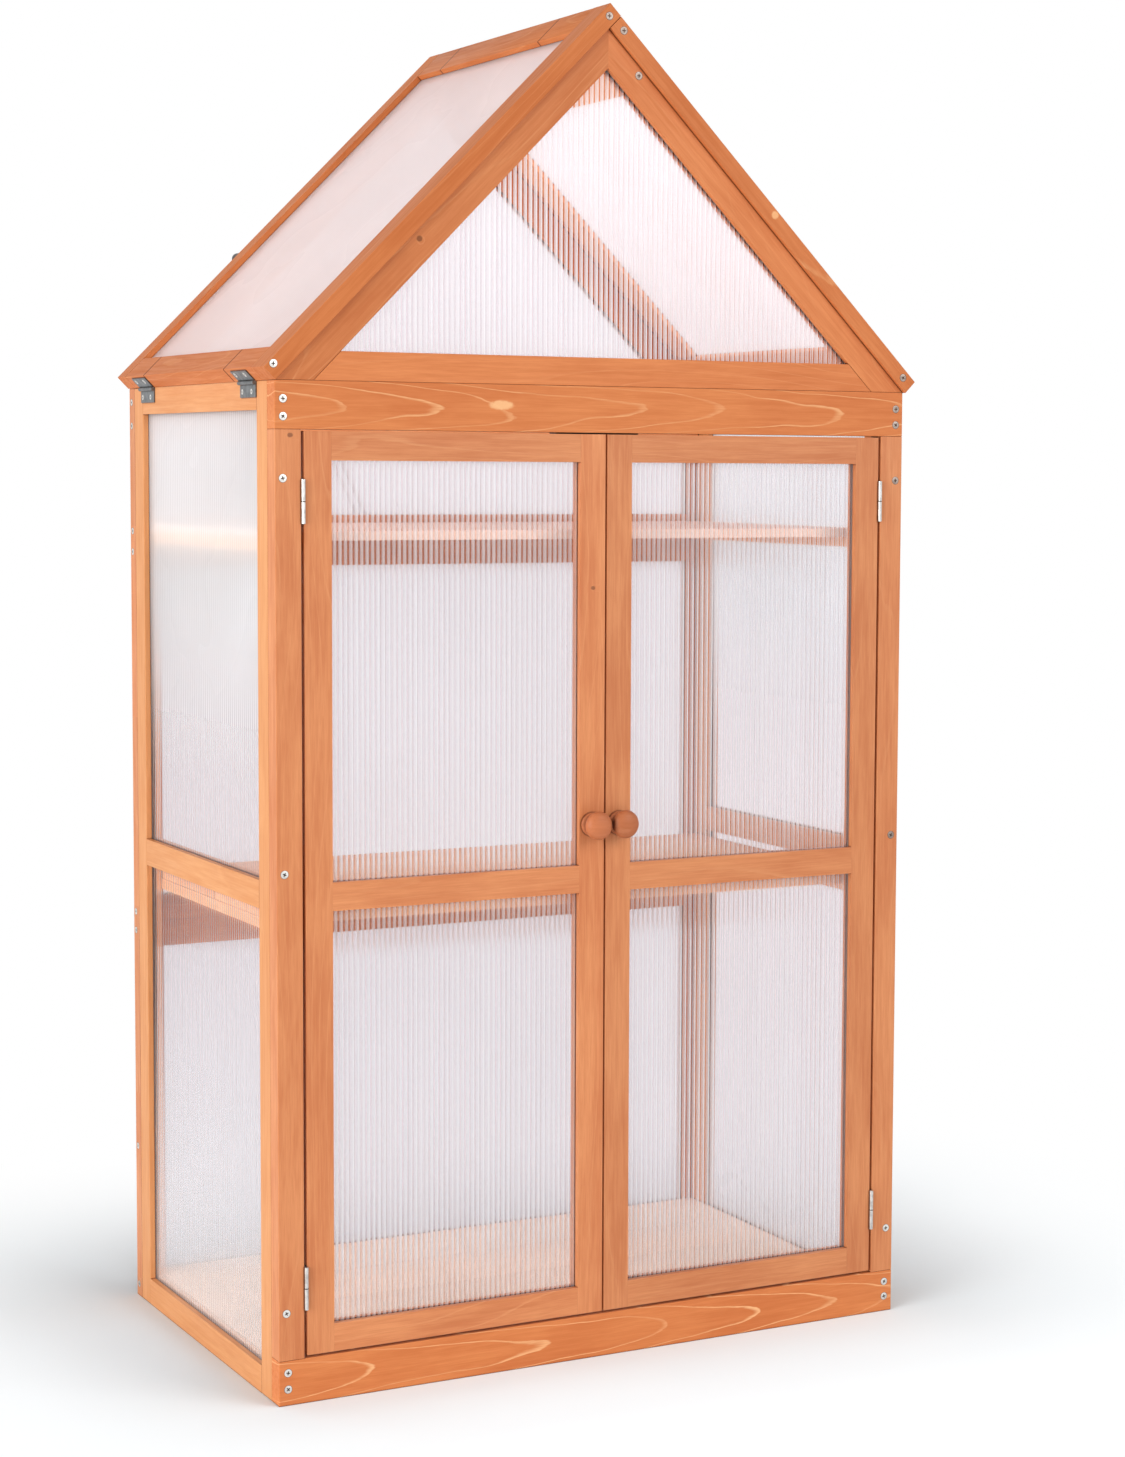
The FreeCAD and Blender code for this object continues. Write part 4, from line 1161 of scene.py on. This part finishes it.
@dataclass
class Fittings:
    """Hinges, magnetic catch, knob screws and lid stay."""

    bright: PlatedSteel = PlatedSteel((0.66, 0.65, 0.63), (0.48, 0.47, 0.45), 0.36)
    dark: PlatedSteel = PlatedSteel((0.20, 0.205, 0.21), (0.13, 0.135, 0.14), 0.42, 0.75)
    # The recess colour paints shade into the screw heads.
    screw: PlatedSteel = PlatedSteel(
        (0.80, 0.79, 0.76), (0.62, 0.60, 0.56), 0.34, recess=(0.05, 0.022, 0.012))
    # Painted shade: a darker, browner copy of the screw steel for the screws that stand in shade,
    # on the right of the face frame and near the ridge and the right eave.
    shaded_steel: PlatedSteel = PlatedSteel(
        (0.36, 0.29, 0.25), (0.24, 0.18, 0.15), 0.42, 0.6, recess=(0.05, 0.022, 0.012))
    bar: PlatedSteel = PlatedSteel((0.84, 0.84, 0.83), (0.74, 0.74, 0.73), 0.36, 0.1)
    hinge_middles: tuple[float, float] = (123.05, 944.35)
    hinge_seam: float = 0.5

    def build(self) -> tuple[Material, Material]:
        """Dress the metal and plastic nodes.

        Returns:
            The finishes of the bright screws and of the screws painted in shade, for the other
            sub-assemblies.
        """
        bright = replace(self.bright, seams=tuple(
            Seam(Axis.UP, middle, self.hinge_seam) for middle in self.hinge_middles))
        dress(bright.material("zinc_bright"), "door_frame_hinge_leaves",
              "door_hinge_pins", "left_door_hinge_leaves", "right_door_hinge_leaves")
        dress(self.dark.material("zinc_dark"), "lid_wall_hinge_leaves", "lid_hinge_pins",
              "lid_hinge_leaves")
        steel = self.screw.material("steel_screw")
        dress(steel, "stay_screw", "left_door_knob_screw", "right_door_knob_screw",
              "left_door_strike", "right_door_strike", "catch_magnets")
        dress(self.bar.material("steel_bar"), "stay_bar")
        dress(MouldedPlastic().material("plastic_black"), "stay_knob", "door_catch")
        LOG.info("fittings dressed")
        return steel, self.shaded_steel.material("steel_screw_shaded")


@dataclass(frozen=True)
class SoftLamp:
    """Square soft light: its place and aim in metres, its side, its power in watts."""

    name: str
    place: Point
    aim: Point
    side: float
    power: float
    colour: Colour = (1.0, 1.0, 1.0)
    on_floor: str = ""

    def hang(self, floor: bpy.types.Object) -> None:
        """Hang the lamp, and keep it off the floor or on the floor alone where on_floor says so.

        Args:
            floor: Floor of the studio.
        """
        data = bpy.data.lights.new(self.name, "AREA")
        data.energy = self.power
        data.size = self.side
        data.color = self.colour
        lamp = bpy.data.objects.new(self.name, data)
        lamp.location = self.place
        facing = Vector(self.aim) - Vector(self.place)
        lamp.rotation_euler = facing.to_track_quat("-Z", "Y").to_euler()
        bpy.context.scene.collection.objects.link(lamp)
        if self.on_floor:
            reached = bpy.data.collections.new(self.name + "_floor")
            reached.objects.link(floor)
            reached.collection_objects[0].light_linking.link_state = self.on_floor
            lamp.light_linking.receiver_collection = reached


@dataclass
class Studio:
    """Pale floor, soft light and the camera of the photograph."""

    eye: Point = (-1.4339, -2.9958, 0.9829)
    look: Point = (0.4771, 0.8750, -0.0821)
    level: Point = (0.8780, -0.4787, 0.0)
    roll: float = math.radians(0.36)
    lens: float = 70.96
    shift: tuple[float, float] = (-0.0697, -0.0178)
    clip_end: float = 60.0
    daylight: float = 0.66
    overhead_share: float = 0.3
    horizon: float = 0.1
    floor_half: float = 9.0
    floor_colour: Colour = (0.725, 0.765, 0.785)
    floor_shade: float = 0.99
    floor_cloud: Figure = Figure(3.0, 3.0)
    floor_glow: float = 0.08
    footprint: Point = (0.38, 0.233, 0.0)
    fade: tuple[float, float] = (0.02, 0.68)
    white: Colour = (1.0, 1.0, 1.0)
    lamps: tuple[SoftLamp, ...] = (
        SoftLamp("key_left", (-3.9, -1.4, 1.0), (0.0, 0.0, 0.7), 3.2, 195.0,
                 (0.94, 1.0, 1.0), "EXCLUDE"),
        SoftLamp("fill_front", (2.0, -3.5, 2.6), (0.0, 0.0, 0.7), 2.4, 76.0),
        SoftLamp("floor_above", (-0.2, -0.25, 3.4), (-0.2, -0.25, 0.0), 1.0, 92.0,
                 on_floor="INCLUDE"),
    )

    def set_camera(self) -> None:
        """Place the camera as it stood for the photograph."""
        look = Vector(self.look).normalized()
        level = Vector(self.level)
        level = (level - look * level.dot(look)).normalized()
        upward = level.cross(look)
        right = level * math.cos(self.roll) + upward * math.sin(self.roll)
        upward = upward * math.cos(self.roll) - level * math.sin(self.roll)
        data = bpy.data.cameras.new("camera")
        data.lens = self.lens
        data.shift_x, data.shift_y = self.shift
        data.clip_end = self.clip_end
        camera = bpy.data.objects.new("camera", data)
        turn = Matrix((right, upward, -look)).transposed()
        camera.matrix_world = Matrix.Translation(self.eye) @ turn.to_4x4()
        bpy.context.scene.collection.objects.link(camera)
        bpy.context.scene.camera = camera

    @staticmethod
    def seen_ray(sheet: NodeSheet) -> Socket:
        """Socket that is 1 for the eye, metal and panes, and 0 for the light on the object."""
        path = sheet.add("LightPath").outputs
        return sheet.math("MAXIMUM", path["Is Camera Ray"], sheet.math(
            "MAXIMUM", path["Is Glossy Ray"], path["Is Transmission Ray"]))

    def set_daylight(self) -> None:
        """Light the room evenly, with a white background for the eye, metal and panes."""
        world = bpy.data.worlds.new("daylight")
        bpy.context.scene.world = world
        sheet = NodeSheet(world)
        height = sheet.split(sheet.coordinates["Generated"])[Axis.UP.value]
        dusk = sheet.add("MapRange", {
            0: height, 1: self.horizon, 3: self.daylight,
            4: self.daylight * self.overhead_share})
        strength = sheet.add("MapRange", {0: self.seen_ray(sheet), 3: dusk, 4: 1.0})
        sheet.finish(sheet.add("Background", {
            "Color": opaque(self.white), "Strength": strength}), "OutputWorld")

    def lay_floor(self) -> bpy.types.Object:
        """Lay a wide pale floor that keeps the shadow and fades to white further out.

        Returns:
            The floor.
        """
        sheet = NodeSheet(bpy.data.materials.new("floor_pale"))
        beyond = sheet.vector("MAXIMUM", sheet.vector(
            "SUBTRACT", sheet.vector("ABSOLUTE", sheet.place), self.footprint))
        cloud = sheet.noise(sheet.place, self.floor_cloud)
        colour = sheet.blend(
            sheet.span(cloud, 0.3, 0.7), opaque(self.floor_colour),
            opaque(self.floor_colour, self.floor_shade))
        seen = self.seen_ray(sheet)
        glow = sheet.add("Emission", {
            "Color": opaque(self.white), "Strength": sheet.math("MULTIPLY", seen, self.floor_glow)})
        near = sheet.add("AddShader", {0: sheet.add("BsdfDiffuse", {"Color": colour}), 1: glow})
        far = sheet.add("Emission", {"Color": opaque(self.white), "Strength": 1.0})
        share = sheet.math("MULTIPLY", seen, sheet.span(sheet.length(beyond), *self.fade))
        shape = bmesh.new()
        bmesh.ops.create_grid(shape, x_segments=4, y_segments=4, size=self.floor_half)
        mesh = bpy.data.meshes.new("floor")
        shape.to_mesh(mesh)
        shape.free()
        mesh.materials.append(sheet.finish(sheet.cross(share, near, far)))
        floor = bpy.data.objects.new("floor", mesh)
        bpy.context.scene.collection.objects.link(floor)
        return floor

    def build(self) -> None:
        """Set up camera, light and floor."""
        scene = bpy.context.scene
        scene.view_settings.view_transform = "Standard"
        scene.cycles.transparent_max_bounces = 24
        scene.cycles.max_bounces = 8
        scene.cycles.diffuse_bounces = 3
        self.set_camera()
        self.set_daylight()
        floor = self.lay_floor()
        for lamp in self.lamps:
            lamp.hang(floor)
        LOG.info("studio set")


def main() -> None:
    """Dress the greenhouse and set up its studio."""
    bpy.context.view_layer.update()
    Studio().build()
    pane = FlutedSheet()
    steel, shaded_steel = Fittings().build()
    cabinet = Cabinet()
    cabinet.dress_wood()
    cabinet.dress_panes(pane)
    cabinet.add_screws(steel, shaded_steel)
    Gables().build(pane, shaded_steel)
    Battens().build()
    Roof().build(pane, steel, shaded_steel)
    Door("left", 71.0, knots=(Knot((-15.8, FRONT, 850.9), 2.2, 0.8),)).build(pane)
    Door("right", 83.0).build(pane)


for leftover in list(bpy.data.objects):
    bpy.data.objects.remove(leftover)
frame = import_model()

if __name__ == "__main__":
    logging.basicConfig(level=logging.INFO)
    main()
